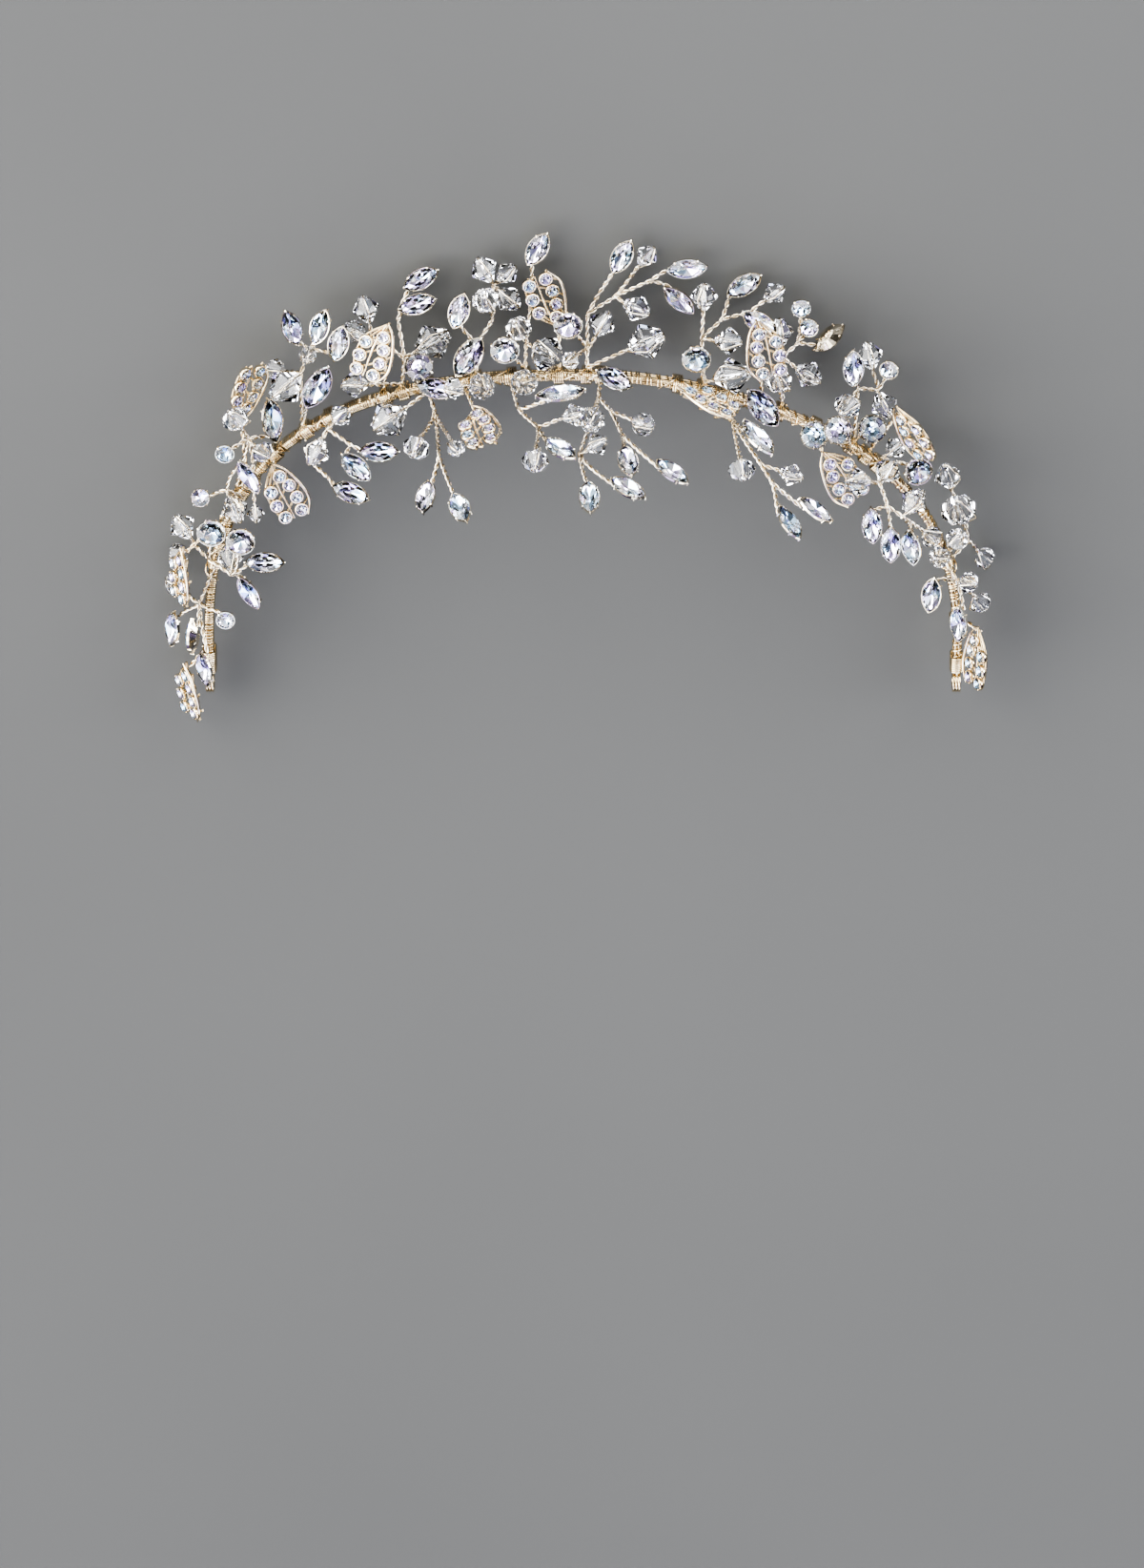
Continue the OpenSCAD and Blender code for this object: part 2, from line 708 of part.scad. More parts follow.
// Moves each point of an open line sideways by half a width and back on the other side
function ribbon(line, width) =
    let (
        last = len(line) - 1,
        side = [
            for (i = [0:last])
                let (d = unit(line[min(i + 1, last)] - line[max(i - 1, 0)]))
                [-d[1], d[0]] * width / 2,
        ]
    ) concat([for (i = [0:last]) line[i] + side[i]], [for (i = [last:-1:0]) line[i] - side[i]]);

module leaf(leaf) {
    f = leaf_frame(leaf);
    outline = leaf_points(LEAF_PLATE);
    rim = [for (i = [0:LEAF_RIM_POINTS - 1]) outline[i]];
    stem = in_frame(f, [-leaf_stem * leaf_length, 0, -twig_d / 4]);
    start = winding_start(leaf[LEAF_WAY], stem);
    cup_d = pave_d + 2 * (stone_gap + setting_wall);
    cup_floor = leaf_plate + cup_height - pave_depth - 2 * stone_gap;
    color("gold") lie_down() {
        winding(leaf[LEAF_WAY]);
        rod(start, stem, twig_d);
        multmatrix(frame_matrix(f))
            difference() {
                union() {
                    linear_extrude(leaf_plate) polygon(outline);
                    linear_extrude(leaf_plate + rim_height) polygon(ribbon(rim, rim_width));
                    linear_extrude(leaf_plate + rim_height / 2)
                        polygon(ribbon(leaf_points(LEAF_VEIN), vein_width));
                    for (seat = leaf_points(LEAF_SEATS))
                        translate(seat) cylinder(h = leaf_plate + cup_height, d = cup_d);
                }
                for (seat = leaf_points(LEAF_SEATS))
                    translate([seat[0], seat[1], cup_floor])
                        cylinder(h = leaf_length, d = pave_d + 2 * stone_gap);
            }
    }
}

module leaf_stones(leaf) {
    color("white") lie_down() multmatrix(frame_matrix(leaf_frame(leaf)))
        for (seat = leaf_points(LEAF_SEATS))
            translate([seat[0], seat[1], leaf_plate + cup_height - stone_gap])
                cut_stone(lifted(ring_outline(pave_d, pave_steps), 0),
                    ring_outline(pave_d * table_share, pave_steps), pave_depth, pave_depth);
}

module band() {
    section = octagon(band_thick, band_width);
    rings = [
        for (i = [0:band_rings])
            let (way = 2 * i / band_rings - 1, p = band_point(way), out = outward(band_tangent(way)))
            [for (q = section) p + q[0] * out + [0, 0, q[1]]],
    ];
    color("darkgoldenrod") lie_down() ring_stack(rings);
}

// An eyelet stands clear of the end of the band by this much
eyelet_gap = 0.1;

module end_eyelets() {
    color("darkgoldenrod") lie_down()
        for (way = [-1, 1])
            translate(band_point(way) + band_tangent(way) * sign(way) * (eyelet_d / 2 + eyelet_gap))
                rotate([0, 90, 0])
                    difference() {
                        cylinder(h = band_thick, d = eyelet_d, center = true);
                        cylinder(h = 2 * band_thick, d = eyelet_hole_d, center = true);
                    }
}

band();
end_eyelets();
spray_wire(SPRAYS[0]);  // spray_01_wire
spray_crystals(SPRAYS[0]);  // spray_01_crystals
spray_wire(SPRAYS[1]);  // spray_02_wire
spray_crystals(SPRAYS[1]);  // spray_02_crystals
spray_wire(SPRAYS[2]);  // spray_03_wire
spray_crystals(SPRAYS[2]);  // spray_03_crystals
spray_wire(SPRAYS[3]);  // spray_04_wire
spray_crystals(SPRAYS[3]);  // spray_04_crystals
spray_wire(SPRAYS[4]);  // spray_05_wire
spray_crystals(SPRAYS[4]);  // spray_05_crystals
spray_wire(SPRAYS[5]);  // spray_06_wire
spray_crystals(SPRAYS[5]);  // spray_06_crystals
spray_wire(SPRAYS[6]);  // spray_07_wire
spray_crystals(SPRAYS[6]);  // spray_07_crystals
spray_wire(SPRAYS[7]);  // spray_08_wire
spray_crystals(SPRAYS[7]);  // spray_08_crystals
spray_wire(SPRAYS[8]);  // spray_09_wire
spray_crystals(SPRAYS[8]);  // spray_09_crystals
spray_wire(SPRAYS[9]);  // spray_10_wire
spray_crystals(SPRAYS[9]);  // spray_10_crystals
spray_wire(SPRAYS[10]);  // spray_11_wire
spray_crystals(SPRAYS[10]);  // spray_11_crystals
spray_wire(SPRAYS[11]);  // spray_12_wire
spray_crystals(SPRAYS[11]);  // spray_12_crystals
spray_wire(SPRAYS[12]);  // spray_13_wire
spray_crystals(SPRAYS[12]);  // spray_13_crystals
spray_wire(SPRAYS[13]);  // spray_14_wire
spray_crystals(SPRAYS[13]);  // spray_14_crystals
spray_wire(SPRAYS[14]);  // spray_15_wire
spray_crystals(SPRAYS[14]);  // spray_15_crystals
spray_wire(SPRAYS[15]);  // spray_16_wire
spray_crystals(SPRAYS[15]);  // spray_16_crystals
spray_wire(SPRAYS[16]);  // spray_17_wire
spray_crystals(SPRAYS[16]);  // spray_17_crystals
leaf(LEAVES[0]);  // leaf_01
leaf_stones(LEAVES[0]);  // leaf_01_stones
leaf(LEAVES[1]);  // leaf_02
leaf_stones(LEAVES[1]);  // leaf_02_stones
leaf(LEAVES[2]);  // leaf_03
leaf_stones(LEAVES[2]);  // leaf_03_stones
leaf(LEAVES[3]);  // leaf_04
leaf_stones(LEAVES[3]);  // leaf_04_stones
leaf(LEAVES[4]);  // leaf_05
leaf_stones(LEAVES[4]);  // leaf_05_stones
leaf(LEAVES[5]);  // leaf_06
leaf_stones(LEAVES[5]);  // leaf_06_stones
leaf(LEAVES[6]);  // leaf_07
leaf_stones(LEAVES[6]);  // leaf_07_stones
leaf(LEAVES[7]);  // leaf_08
leaf_stones(LEAVES[7]);  // leaf_08_stones
leaf(LEAVES[8]);  // leaf_09
leaf_stones(LEAVES[8]);  // leaf_09_stones
leaf(LEAVES[9]);  // leaf_10
leaf_stones(LEAVES[9]);  // leaf_10_stones
leaf(LEAVES[10]);  // leaf_11
leaf_stones(LEAVES[10]);  // leaf_11_stones
leaf(LEAVES[11]);  // leaf_12
leaf_stones(LEAVES[11]);  // leaf_12_stones
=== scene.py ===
# %% [markdown]
# # A crystal diadem of wired sprays
# The real piece is a slim arch of gold wires with sprays of marquise stones, round stones
# and bicone beads tied to it, and small cast leaves set with stones. The imported solids give
# every place, so this script builds a finer piece over each solid, in the same spot, and
# hides the solid. The box of the solids is kept.

# %% Load the frame
import bisect
import math
import random
from collections import namedtuple

import bmesh
import bpy
from mathutils import Matrix, Vector


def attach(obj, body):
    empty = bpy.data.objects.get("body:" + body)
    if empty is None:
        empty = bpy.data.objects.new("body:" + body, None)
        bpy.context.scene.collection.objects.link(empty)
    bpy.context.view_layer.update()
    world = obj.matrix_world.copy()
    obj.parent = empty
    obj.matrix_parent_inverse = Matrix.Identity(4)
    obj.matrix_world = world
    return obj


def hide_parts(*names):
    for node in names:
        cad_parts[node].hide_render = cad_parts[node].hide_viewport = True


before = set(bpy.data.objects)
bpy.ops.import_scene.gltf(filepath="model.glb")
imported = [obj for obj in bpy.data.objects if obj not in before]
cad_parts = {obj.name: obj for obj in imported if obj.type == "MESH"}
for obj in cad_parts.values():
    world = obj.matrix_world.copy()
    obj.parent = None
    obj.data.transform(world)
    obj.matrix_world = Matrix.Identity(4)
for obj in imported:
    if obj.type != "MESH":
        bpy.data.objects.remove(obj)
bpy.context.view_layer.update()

dice = random.Random(11)

# %% [markdown]
# The arch, the head it goes over and the charts of sprays and leaves are the same values
# that the solids come from, so a stone made here lands in its own setting. Lengths are in
# metres. The diadem lies on its side: X runs across, Y up to the crown, Z to the front.

# %% Sizes shared with the solids
mm = 0.001
half_span = 80 * mm
crown_height = 71 * mm
left_powers = (2.5, 3.0)
right_powers = (1.75, 2.9)
band_width = 4.2 * mm
band_thick = 2.0 * mm
eyelet_d = 5.0 * mm
eyelet_hole_d = 2.4 * mm
eyelet_gap = 0.1 * mm
head_radii = Vector((77, 68, 84)) * mm
chart_tilt = math.radians(30)
twig_d = 0.9 * mm
winding_thick = 0.9 * mm
winding_gap = 0.2 * mm
crown_rise = 0.9 * mm
pavilion_depth = 1.0 * mm
stone_gap = 0.12 * mm
setting_floor = 0.45 * mm
tray_depth = pavilion_depth + stone_gap + setting_floor
pave_depth = 0.5 * mm
leaf_length = 14 * mm
leaf_width = 8.5 * mm
leaf_plate = 0.7 * mm
rim_height = 1.1 * mm
cup_height = 0.8 * mm
share = half_span / 100
lowest_off = 7
lowest_r = 2.5 * mm
rest_height = lowest_off * share + lowest_r
lie_down = Vector((0, crown_height, rest_height))
sight = Vector((0, math.sin(chart_tilt), math.cos(chart_tilt)))
chart_up = Vector((0, math.cos(chart_tilt), -math.sin(chart_tilt)))
head_middle = Vector((0, -crown_height, 0))
print("one chart unit is", round(share / mm, 2), "mm")

# %% Kinds of stone and bead
# name: form, length, width
KINDS = {
    "m8": ("marquise", 8.0 * mm, 4.0 * mm),
    "m10": ("marquise", 10.0 * mm, 5.0 * mm),
    "c6": ("chaton", 5.6 * mm, 5.6 * mm),
    "c4": ("chaton", 3.6 * mm, 3.6 * mm),
    "b4": ("bicone", 3.76 * mm, 4.0 * mm),
    "b5": ("bicone", 4.7 * mm, 5.0 * mm),
    "b6": ("bicone", 5.64 * mm, 6.0 * mm),
    "b8": ("bicone", 7.52 * mm, 8.0 * mm),
    "r5": ("round", 5.0 * mm, 5.0 * mm),
}
print(len(KINDS), "kinds of stone and bead")

# %% Chart of the sprays
# A joint is (from, across, up, off). Point is the angle of the tip.
Spray = namedtuple("Spray", "way laid joints pieces")
Piece = namedtuple("Piece", "joint kind across up off point turn")
SPRAYS = [
    (-0.85, False, [(-1, -99, -48, 8), (0, -93, -52, 13), (-1, -103, -44, -3), (-1, -102, -59, 3)], [
        (0, "c6", -98, -41.5, 14, -90, 0), (1, "c6", -90, -44, 21, -90, 0),
        (2, "b6", -106.5, -39, -3, 0, 0), (2, "b5", -108, -46, -7, 0, 0),
        (1, "b6", -93.5, -47.5, 8, 0, 0), (1, "m8", -84, -49, 16, 0, 0),
        (1, "m8", -88.5, -57, 14, -60, 40), (3, "b5", -109, -54, -4.5, 0, 0),
        (3, "m8", -110, -66, -1, -95, 50), (3, "m8", -104.5, -68, 6, -92, 110),
        (3, "m8", -101, -77, 12, -80, 50), (3, "c4", -95, -64, 10, -90, 0)]),
    (-0.68, False, [(-1, -94, -30, 6), (-1, -88, -17, 6)], [
        (0, "c4", -101, -32, 7, 180, 0), (0, "m8", -88, -27, 12, -60, 45),
        (0, "b6", -92, -35, 8, 0, 0), (1, "b4", -86.5, -36, 7, 0, 0),
        (1, "c4", -94, -21, 12, 90, 0), (1, "b6", -91, -12, 12, 0, 0),
        (1, "b5", -84, -20.5, 13, 0, 0), (1, "m10", -81.5, -12, 4, 100, 40)]),
    (-0.47, False, [(-1, -74, 0, 2), (0, -72, 6, 0)], [
        (0, "b5", -81, 1.5, -5, 0, 0), (0, "b8", -78, -3.5, 6, 0, 0),
        (-1, "m10", -69.5, -4, 10, 60, 20), (1, "b4", -72, 4.5, 6, 0, 0),
        (1, "m8", -76, 11.5, 4, 112, 20), (1, "m8", -69, 12, 0, 68, -20),
        (1, "m8", -64, 7.5, 4.5, 75, 0)]),
    (-0.41, False, [(-1, -67, -14, 8), (0, -61, -18.5, 13), (-1, -72, -21, 5), (2, -67, -27, 12)], [
        (0, "b6", -70, -20.5, 12, 0, 0), (0, "b5", -63.5, -11, 10, 0, 0),
        (1, "m8", -53.5, -20.5, 16, 0, 0), (1, "m8", -59.5, -24.5, 17, -42, 0),
        (3, "m8", -61, -31, 16, -20, 0)]),
    (-0.255, False, [(-1, -47, 4, 0), (0, -48.5, 14, -3), (0, -55, 9, -4)], [
        (1, "m8", -42.5, 24.5, -5, 27, 0), (1, "m8", -43.5, 18, -3, 15, 0),
        (0, "b8", -39.5, 8.5, -3, 0, 0), (0, "c6", -43, 1.5, 7, 0, 0),
        (0, "m8", -38.5, -4, 7, -12, 0), (2, "b6", -57, 17, -5, 0, 0),
        (2, "r5", -60, 11, -1, 0, 0), (-1, "b6", -60, -3, 7, 0, 0)]),
    (-0.21, True, [(-1, -39, -9.5, 4), (0, -37.5, -22, 4)], [
        (-1, "b8", -51, -12, 7, 0, 0), (0, "b6", -43.5, -20, 7, 0, 0),
        (0, "b4", -33, -20.5, 8, 0, 0), (1, "m8", -41, -33, 5, -98, 0),
        (1, "m8", -32, -36, 5, -64, 0)]),
    (-0.13, False, [(-1, -28, 7, -2), (0, -24, 14, -4), (1, -23.5, 23, -6)], [
        (0, "m8", -32.5, 16, 1, 72, 0), (0, "m10", -30, 4, 7, 55, 0),
        (2, "b6", -26, 27, -6, 0, 0), (2, "b5", -20, 26, -6, 0, 0),
        (2, "b6", -19.5, 19.5, -6, 0, 0), (1, "b6", -25.5, 18.5, 4, 0, 0),
        (-1, "b5", -34, -4, 10, 0, 0), (-1, "b6", -26.5, -3.5, 9, 0, 0)]),
    (-0.06, False, [(-1, -15, 8, -4), (0, -13.5, 21, -6.5)], [
        (1, "m8", -12, 32, -5, 57, 0), (-1, "c6", -20.5, 5.5, 9, 90, 0),
        (0, "b6", -17, 11.5, 2, 0, 0), (-1, "b6", -15.5, -2.5, 9, 0, 0),
        (0, "b8", -9.5, 5, 3, 0, 0)]),
    (-0.08, True, [(-1, -17, -9.5, 4), (0, -12, -14.5, 4)], [
        (1, "b6", -12.5, -24, 6, 0, 0), (1, "m8", -6, -20.5, 7, -35, 0),
        (1, "b5", -2.5, -11.5, 6, 0, 0), (0, "m10", -6, -5.5, 9, 8, 0)]),
    (0.042, True, [(-1, 4, -6, 3), (0, 7, -10, 3), (1, 10, -16.5, 3), (0, -1, -22, 2)], [
        (0, "b6", 2, -13, 8, 0, 0), (3, "b5", 3.5, -19.5, 6, 0, 0),
        (3, "m8", 1.5, -33.5, 5, -86, 0), (3, "m8", 11.5, -31, 5, -30, 0),
        (2, "m8", 11.5, -24, 9, -78, 0), (2, "m8", 23, -26.5, 5, -38, 0),
        (1, "r5", 15.5, -14, 5, 0, 0)]),
    (0.01, False, [(-1, 1, 6, -2), (0, 1, 15, -4), (1, 8, 20, -6), (2, 17, 24, -6)], [
        (0, "b6", 5, 13, -1, 0, 0), (0, "c6", -4, 12, 5, 90, 0),
        (0, "b4", -3.5, 3, 9, 0, 0), (1, "m8", 10, 30, -4, 60, 0),
        (2, "b5", 16.5, 30.5, -7, 0, 0), (3, "m8", 27, 27, -5, 5, 30),
        (3, "m8", 25, 19, -5, -40, 40), (2, "b6", 14, 17, -3, 0, 0),
        (-1, "b8", 16.5, 8.5, -1, 0, 0), (-1, "m8", 8, -1.5, 8, -25, 0)]),
    (0.235, False, [(-1, 31, 9, -2), (0, 36, 14, -4), (1, 43, 16, -5)], [
        (0, "b6", 31.5, 20, -3, 0, 0), (-1, "c6", 29.5, 3.5, 5, 90, 0),
        (1, "m8", 42, 23, -6, 30, 20), (2, "b5", 50, 21, -6, 0, 0),
        (2, "m8", 46, 13, 2, -30, 20), (0, "b6", 38, 8.5, 1, 0, 0),
        (-1, "b8", 39, -0.5, 3, 0, 0)]),
    (0.378, False, [(-1, 52, 4, -1), (0, 56, 8, -3)], [
        (1, "c4", 57, 17, -5, 90, 0), (1, "c4", 59, 12, -3, 60, 0),
        (0, "b6", 51.5, 11, -3, 0, 0), (1, "m8", 64.5, 9.5, -4, 40, 150),
        (-1, "b6", 51, -2, 6, 0, 0), (0, "b6", 59, 0, 1, 0, 0),
        (-1, "m10", 47, -9, 9, -50, 0)]),
    (0.29, True, [(-1, 39, -12, 4), (0, 46, -24, 4), (1, 49, -29, 4)], [
        (0, "m10", 45.5, -17, 9, -52, 0), (0, "b6", 41, -26, 6, 0, 0),
        (1, "b5", 54, -27, 7, 0, 0), (2, "m8", 53.5, -39.5, 5, -60, 0),
        (2, "m8", 60.5, -36, 5, -35, 0)]),
    (0.525, False, [(-1, 72, -4, 2), (0, 77, -4, 0)], [
        (1, "b6", 75, 5, -1, 0, 0), (1, "c4", 80, 1, 1, 60, 0),
        (0, "m8", 70.5, 1, 7, 90, 0), (1, "b6", 79, -8, 2, 0, 0),
        (0, "b6", 69, -8.5, 9, 0, 0), (-1, "c6", 60.5, -16, 12, 200, 0),
        (-1, "c6", 66.5, -15, 16, 200, 0), (-1, "c6", 75.5, -14.5, 12, 0, 0)]),
    (0.59, False, [(-1, 78, -28, 8), (0, 80, -34, 11), (1, 84, -37, 12)], [
        (0, "b6", 72, -28, 12, 0, 0), (0, "b6", 80, -25, 9, 0, 0),
        (-1, "b5", 82.5, -18.5, -3, 0, 0), (2, "b6", 87, -33, 10, 0, 0),
        (1, "m8", 76, -39.5, 13, -85, 0), (1, "m8", 81, -44.5, 14, -88, 0),
        (2, "m8", 86.5, -45, 10, -80, 30), (2, "b5", 92, -42, 6, 0, 0),
        (-1, "c6", 88.5, -25, 1, -60, 0)]),
    (0.84, False, [(-1, 97, -46, 4), (-1, 99, -53, 6), (-1, 102, -43, -2)], [
        (2, "b6", 96, -26, 2, 0, 0), (2, "b8", 99, -35, 6, 0, 0),
        (1, "m8", 92, -57.5, 14, -98, 20), (1, "m8", 99.5, -65, 11, -90, 40),
        (0, "b5", 94, -47.5, 13, 0, 0), (0, "b5", 98.5, -42.8, 12.5, 0, 0),
        (1, "b5", 102, -54, 11, 0, 0), (2, "b5", 107, -47, -7, 0, 0),
        (1, "b5", 106, -59, 0, 0, 0)]),
]
SPRAYS = [Spray(*row[:3], [Piece(*piece) for piece in row[3]]) for row in SPRAYS]
print(len(SPRAYS), "sprays with", sum(len(s.pieces) for s in SPRAYS), "stones and beads")

# %% Chart of the leaves
Leaf = namedtuple("Leaf", "way laid across up off point turn rim_side")
LEAVES = [Leaf(*row) for row in (
    (-0.56, False, -78, -29.5, 7, -60, 0, 1), (-0.64, False, -88, -4, 0, 70, 50, -1),
    (-0.29, False, -53, 5.5, 9, -110, 0, 1), (-0.15, True, -26, -15, 5, -66, 0, 1),
    (-0.02, False, -8.5, 19.5, -5.5, 110, 0, -1), (0.19, True, 31.5, -8.5, 7, -30, 0, -1),
    (0.34, False, 46, 6, 11, -80, 0, -1), (0.45, False, 66.5, -26.5, 7, -58, 0, -1),
    (0.56, False, 86, -15, 10, -60, 60, -1), (-0.775, False, -105.5, -52, 4, -90, 60, 1),
    (-0.99, False, -104.5, -82, 0, -80, 60, 1), (0.95, False, 105, -73, 6, -95, 60, -1),
)]
LEAF_PLATE = [(-0.5, 0), (-0.32, 0.2), (0, 0.34), (0.28, 0.35), (0.5, 0.14),
              (0.46, -0.36), (0.3, -0.52), (0, -0.54), (-0.22, -0.42), (-0.42, -0.18)]
LEAF_RIM = LEAF_PLATE[:5]
LEAF_VEIN = [(-0.46, -0.04), (-0.14, -0.17), (0.46, -0.2)]
LEAF_SEATS = [(-0.27, -0.02), (-0.07, 0.08), (0.16, 0.1), (0.38, 0.04),
              (-0.11, -0.4), (0.13, -0.44), (0.36, -0.4)]
print(len(LEAVES), "leaves with", len(LEAF_SEATS), "stones each")

# %% [markdown]
# Each place in the chart is given as it is seen: across, up and how far off. A standing
# twig keeps its own height over the arch, and a laid one follows the round of the head.
# These functions turn the chart into points and directions.


# %% Places along the arch
def band_point(way):
    powers = left_powers if way < 0 else right_powers
    turn = math.radians(90 * (1 - abs(way)))
    across = max(math.cos(turn), 0) ** (2 / powers[0])
    upward = max(math.sin(turn), 0) ** (2 / powers[1])
    return Vector((math.copysign(half_span * across, way), crown_height * (upward - 1), 0))


def band_tangent(way):
    step = 0.004
    return (band_point(min(way + step, 1)) - band_point(max(way - step, -1))).normalized()


def outward(way):
    tangent = band_tangent(way)
    return Vector((-tangent.y, tangent.x, 0))


WAYS = [k / 1000 - 1 for k in range(2001)]
LENGTHS = [0.0]
for a, b in zip(WAYS, WAYS[1:]):
    LENGTHS.append(LENGTHS[-1] + (band_point(b) - band_point(a)).length)
arch_length = LENGTHS[-1]


def way_at(length):
    """The way along the arch that lies this far from its left end."""
    k = min(max(bisect.bisect(LENGTHS, length), 1), len(WAYS) - 1)
    part = (length - LENGTHS[k - 1]) / (LENGTHS[k] - LENGTHS[k - 1])
    return WAYS[k - 1] + min(max(part, 0), 1) * (WAYS[k] - WAYS[k - 1])


print("the arch is", round(arch_length / mm), "mm long")


# %% Places in the chart
def standing(across, up, off):
    rise = (up + off * math.sin(chart_tilt)) / math.cos(chart_tilt)
    return Vector((across, rise, off)) * share


def over_head(across, up, lift):
    seen = Vector((across * share, 0, 0)) + up * share * chart_up
    radii = head_radii + Vector((1, 1, 1)) * lift * share
    start = Vector([(seen[i] - head_middle[i]) / radii[i] for i in range(3)])
    line = Vector([sight[i] / radii[i] for i in range(3)])
    half_b, a = start.dot(line), line.dot(line)
    left = max(half_b * half_b - a * (start.dot(start) - 1), 0)
    return seen + sight * (math.sqrt(left) - half_b) / a


def place(laid, across, up, off):
    return over_head(across, up, off) if laid else standing(across, up, off)


def turned(long, face, turn):
    side = face.cross(long).normalized()
    straight = long.cross(side)
    c, s = math.cos(math.radians(turn)), math.sin(math.radians(turn))
    return long, side * c + straight * s, straight * c - side * s


def frame_matrix(middle, axes):
    columns = Matrix([axes[0], axes[1], axes[2]]).transposed().to_4x4()
    return Matrix.Translation(middle) @ columns


def chart_frame(laid, across, up, off, point, turn):
    middle = place(laid, across, up, off)
    a = math.radians(point)
    ahead = place(laid, across + math.cos(a), up + math.sin(a), off)
    face = sight
    if laid:
        face = Vector([(middle[i] - head_middle[i]) / head_radii[i] ** 2 for i in range(3)]).normalized()
    return frame_matrix(middle, turned((ahead - middle).normalized(), face, turn))


print("middle of the first stone:", [round(v, 4) for v in standing(*SPRAYS[0].pieces[0][2:5])])


# %% Where twigs start and pieces sit
def winding_start(way, target):
    p, out = band_point(way), outward(way)
    d, reach = target - p, winding_gap + winding_thick / 2
    if abs(d.dot(out)) > abs(d.z):
        return p + math.copysign(band_thick / 2 + reach, d.dot(out)) * out
    return p + Vector((0, 0, math.copysign(band_width / 2 + reach, d.z)))


def joint_at(spray, number):
    return place(spray.laid, *spray.joints[number][1:])


def twig_start(spray, number, target):
    return winding_start(spray.way, target) if number < 0 else joint_at(spray, number)


def is_bead(kind):
    return KINDS[kind][0] in ("bicone", "round")


def piece_matrix(spray, piece):
    if not is_bead(piece.kind):
        return chart_frame(spray.laid, *piece[2:])
    middle = place(spray.laid, *piece[2:5])
    long = (middle - twig_start(spray, piece.joint, middle)).normalized()
    return frame_matrix(middle, turned(long, sight + Vector((0.05, 0, 0)), 0))


def leaf_matrix(leaf):
    return chart_frame(*leaf[1:7]) @ Matrix.Diagonal((1, leaf.rim_side, 1, 1))


print("first leaf's middle:", [round(v, 4) for v in leaf_matrix(LEAVES[0]).translation])

# %% [markdown]
# The camera comes before the pieces. It looks down on the lying diadem from the front of
# the worn piece and a little above it, with a long lens, as a portrait photographer does,
# so that lines stay nearly parallel.

# %% Camera
picture_height = 0.329
lens = 180
sensor = 36
middle_of_view = lie_down + Vector((-2.4 * mm, 0, 0)) - chart_up * 85.9 * mm
camera = bpy.data.objects.new("camera", bpy.data.cameras.new("camera"))
camera.data.lens, camera.data.sensor_width = lens, sensor
distance = picture_height * lens / sensor
camera.location = middle_of_view + sight * distance
camera.rotation_mode = "QUATERNION"
right = Vector((1, 0, 0))
camera.rotation_quaternion = Matrix([right, chart_up, sight]).transposed().to_quaternion()
camera.data.clip_start, camera.data.clip_end = 0.05, 20
bpy.context.scene.collection.objects.link(camera)
bpy.context.scene.camera = camera
print("camera", round(distance, 2), "m away at", [round(v, 3) for v in camera.location])

# %% [markdown]
# A stone cutter starts from a blank in the outline of the stone and grinds one flat after
# the other. The same is done here: a plane cuts the mesh, all beyond it goes, and the
# hole is closed. Every facet then meets its neighbours as on a real stone. Each flat is
# given by the direction of the outline that it follows and by two heights on its way in.


# %% Outlines
def lens_station(long, wide, u, side):
    radius = (long * long + wide * wide) / (4 * wide)
    a = u * math.asin(long / 2 / radius)
    point = Vector((radius * math.sin(a), side * (radius * math.cos(a) - radius + wide / 2), 0))
    return point, Vector((math.sin(a), side * math.cos(a), 0))


def round_station(d, turn):
    n = Vector((math.cos(turn), math.sin(turn), 0))
    return n * d / 2, n


OUTLINE_STEPS = {"marquise": 20, "chaton": 16}


def outline_face(bm, form, long, wide):
    """A flat face with the outline of a lens or a circle."""
    steps = OUTLINE_STEPS[form]
    bmesh.ops.create_circle(bm, cap_ends=True, segments=steps, radius=1)
    for k, v in enumerate(sorted(bm.verts, key=lambda v: math.atan2(v.co.y, v.co.x) % math.tau)):
        turn = math.tau * k / steps
        if form == "marquise":
            side = 1 if turn <= math.pi else -1
            u = 1 - (turn if side > 0 else math.tau - turn) / (math.pi / 2)
            v.co = lens_station(long, wide, u, side)[0]
        else:
            v.co = round_station(long, turn)[0]
    return bm.faces[:][0]


def grow(bm, face, move, scale=1.0, base=False):
    """Extrudes a face, moves it and scales it about its middle. A base closes the start."""
    ring = face.edges[:]
    cap = bmesh.ops.extrude_discrete_faces(bm, faces=[face])["faces"][0]
    if base:
        bmesh.ops.contextual_create(bm, geom=ring)
    middle = cap.calc_center_median()
    bmesh.ops.scale(bm, vec=(scale,) * 3, space=Matrix.Translation(-middle), verts=cap.verts)
    bmesh.ops.translate(bm, vec=move, verts=cap.verts)
    return cap


trial = bmesh.new()
outline_face(trial, "marquise", 8 * mm, 4 * mm)
print("a marquise outline has", len(trial.verts), "points")
trial.free()


# %% Facets
up_axis = Vector((0, 0, 1))
girdle = 0.07 * mm


def facet(bm, station, near, far):
    """Cuts one flat that passes two rings: (share of the outline, height)."""
    p, n = station
    low = p * near[0] + up_axis * near[1]
    high = p * far[0] + up_axis * far[1]
    normal = Vector((-n.y, n.x, 0)).cross(high - low).normalized()
    if normal.dot(n) < 0:
        normal.negate()
    made = bmesh.ops.bisect_plane(bm, geom=bm.verts[:] + bm.edges[:] + bm.faces[:],
                                  dist=1e-8, plane_co=low, plane_no=normal, clear_outer=True)
    rim = [e for e in made["geom_cut"] if isinstance(e, bmesh.types.BMEdge)]
    if rim:
        bmesh.ops.edgeloop_fill(bm, edges=rim)


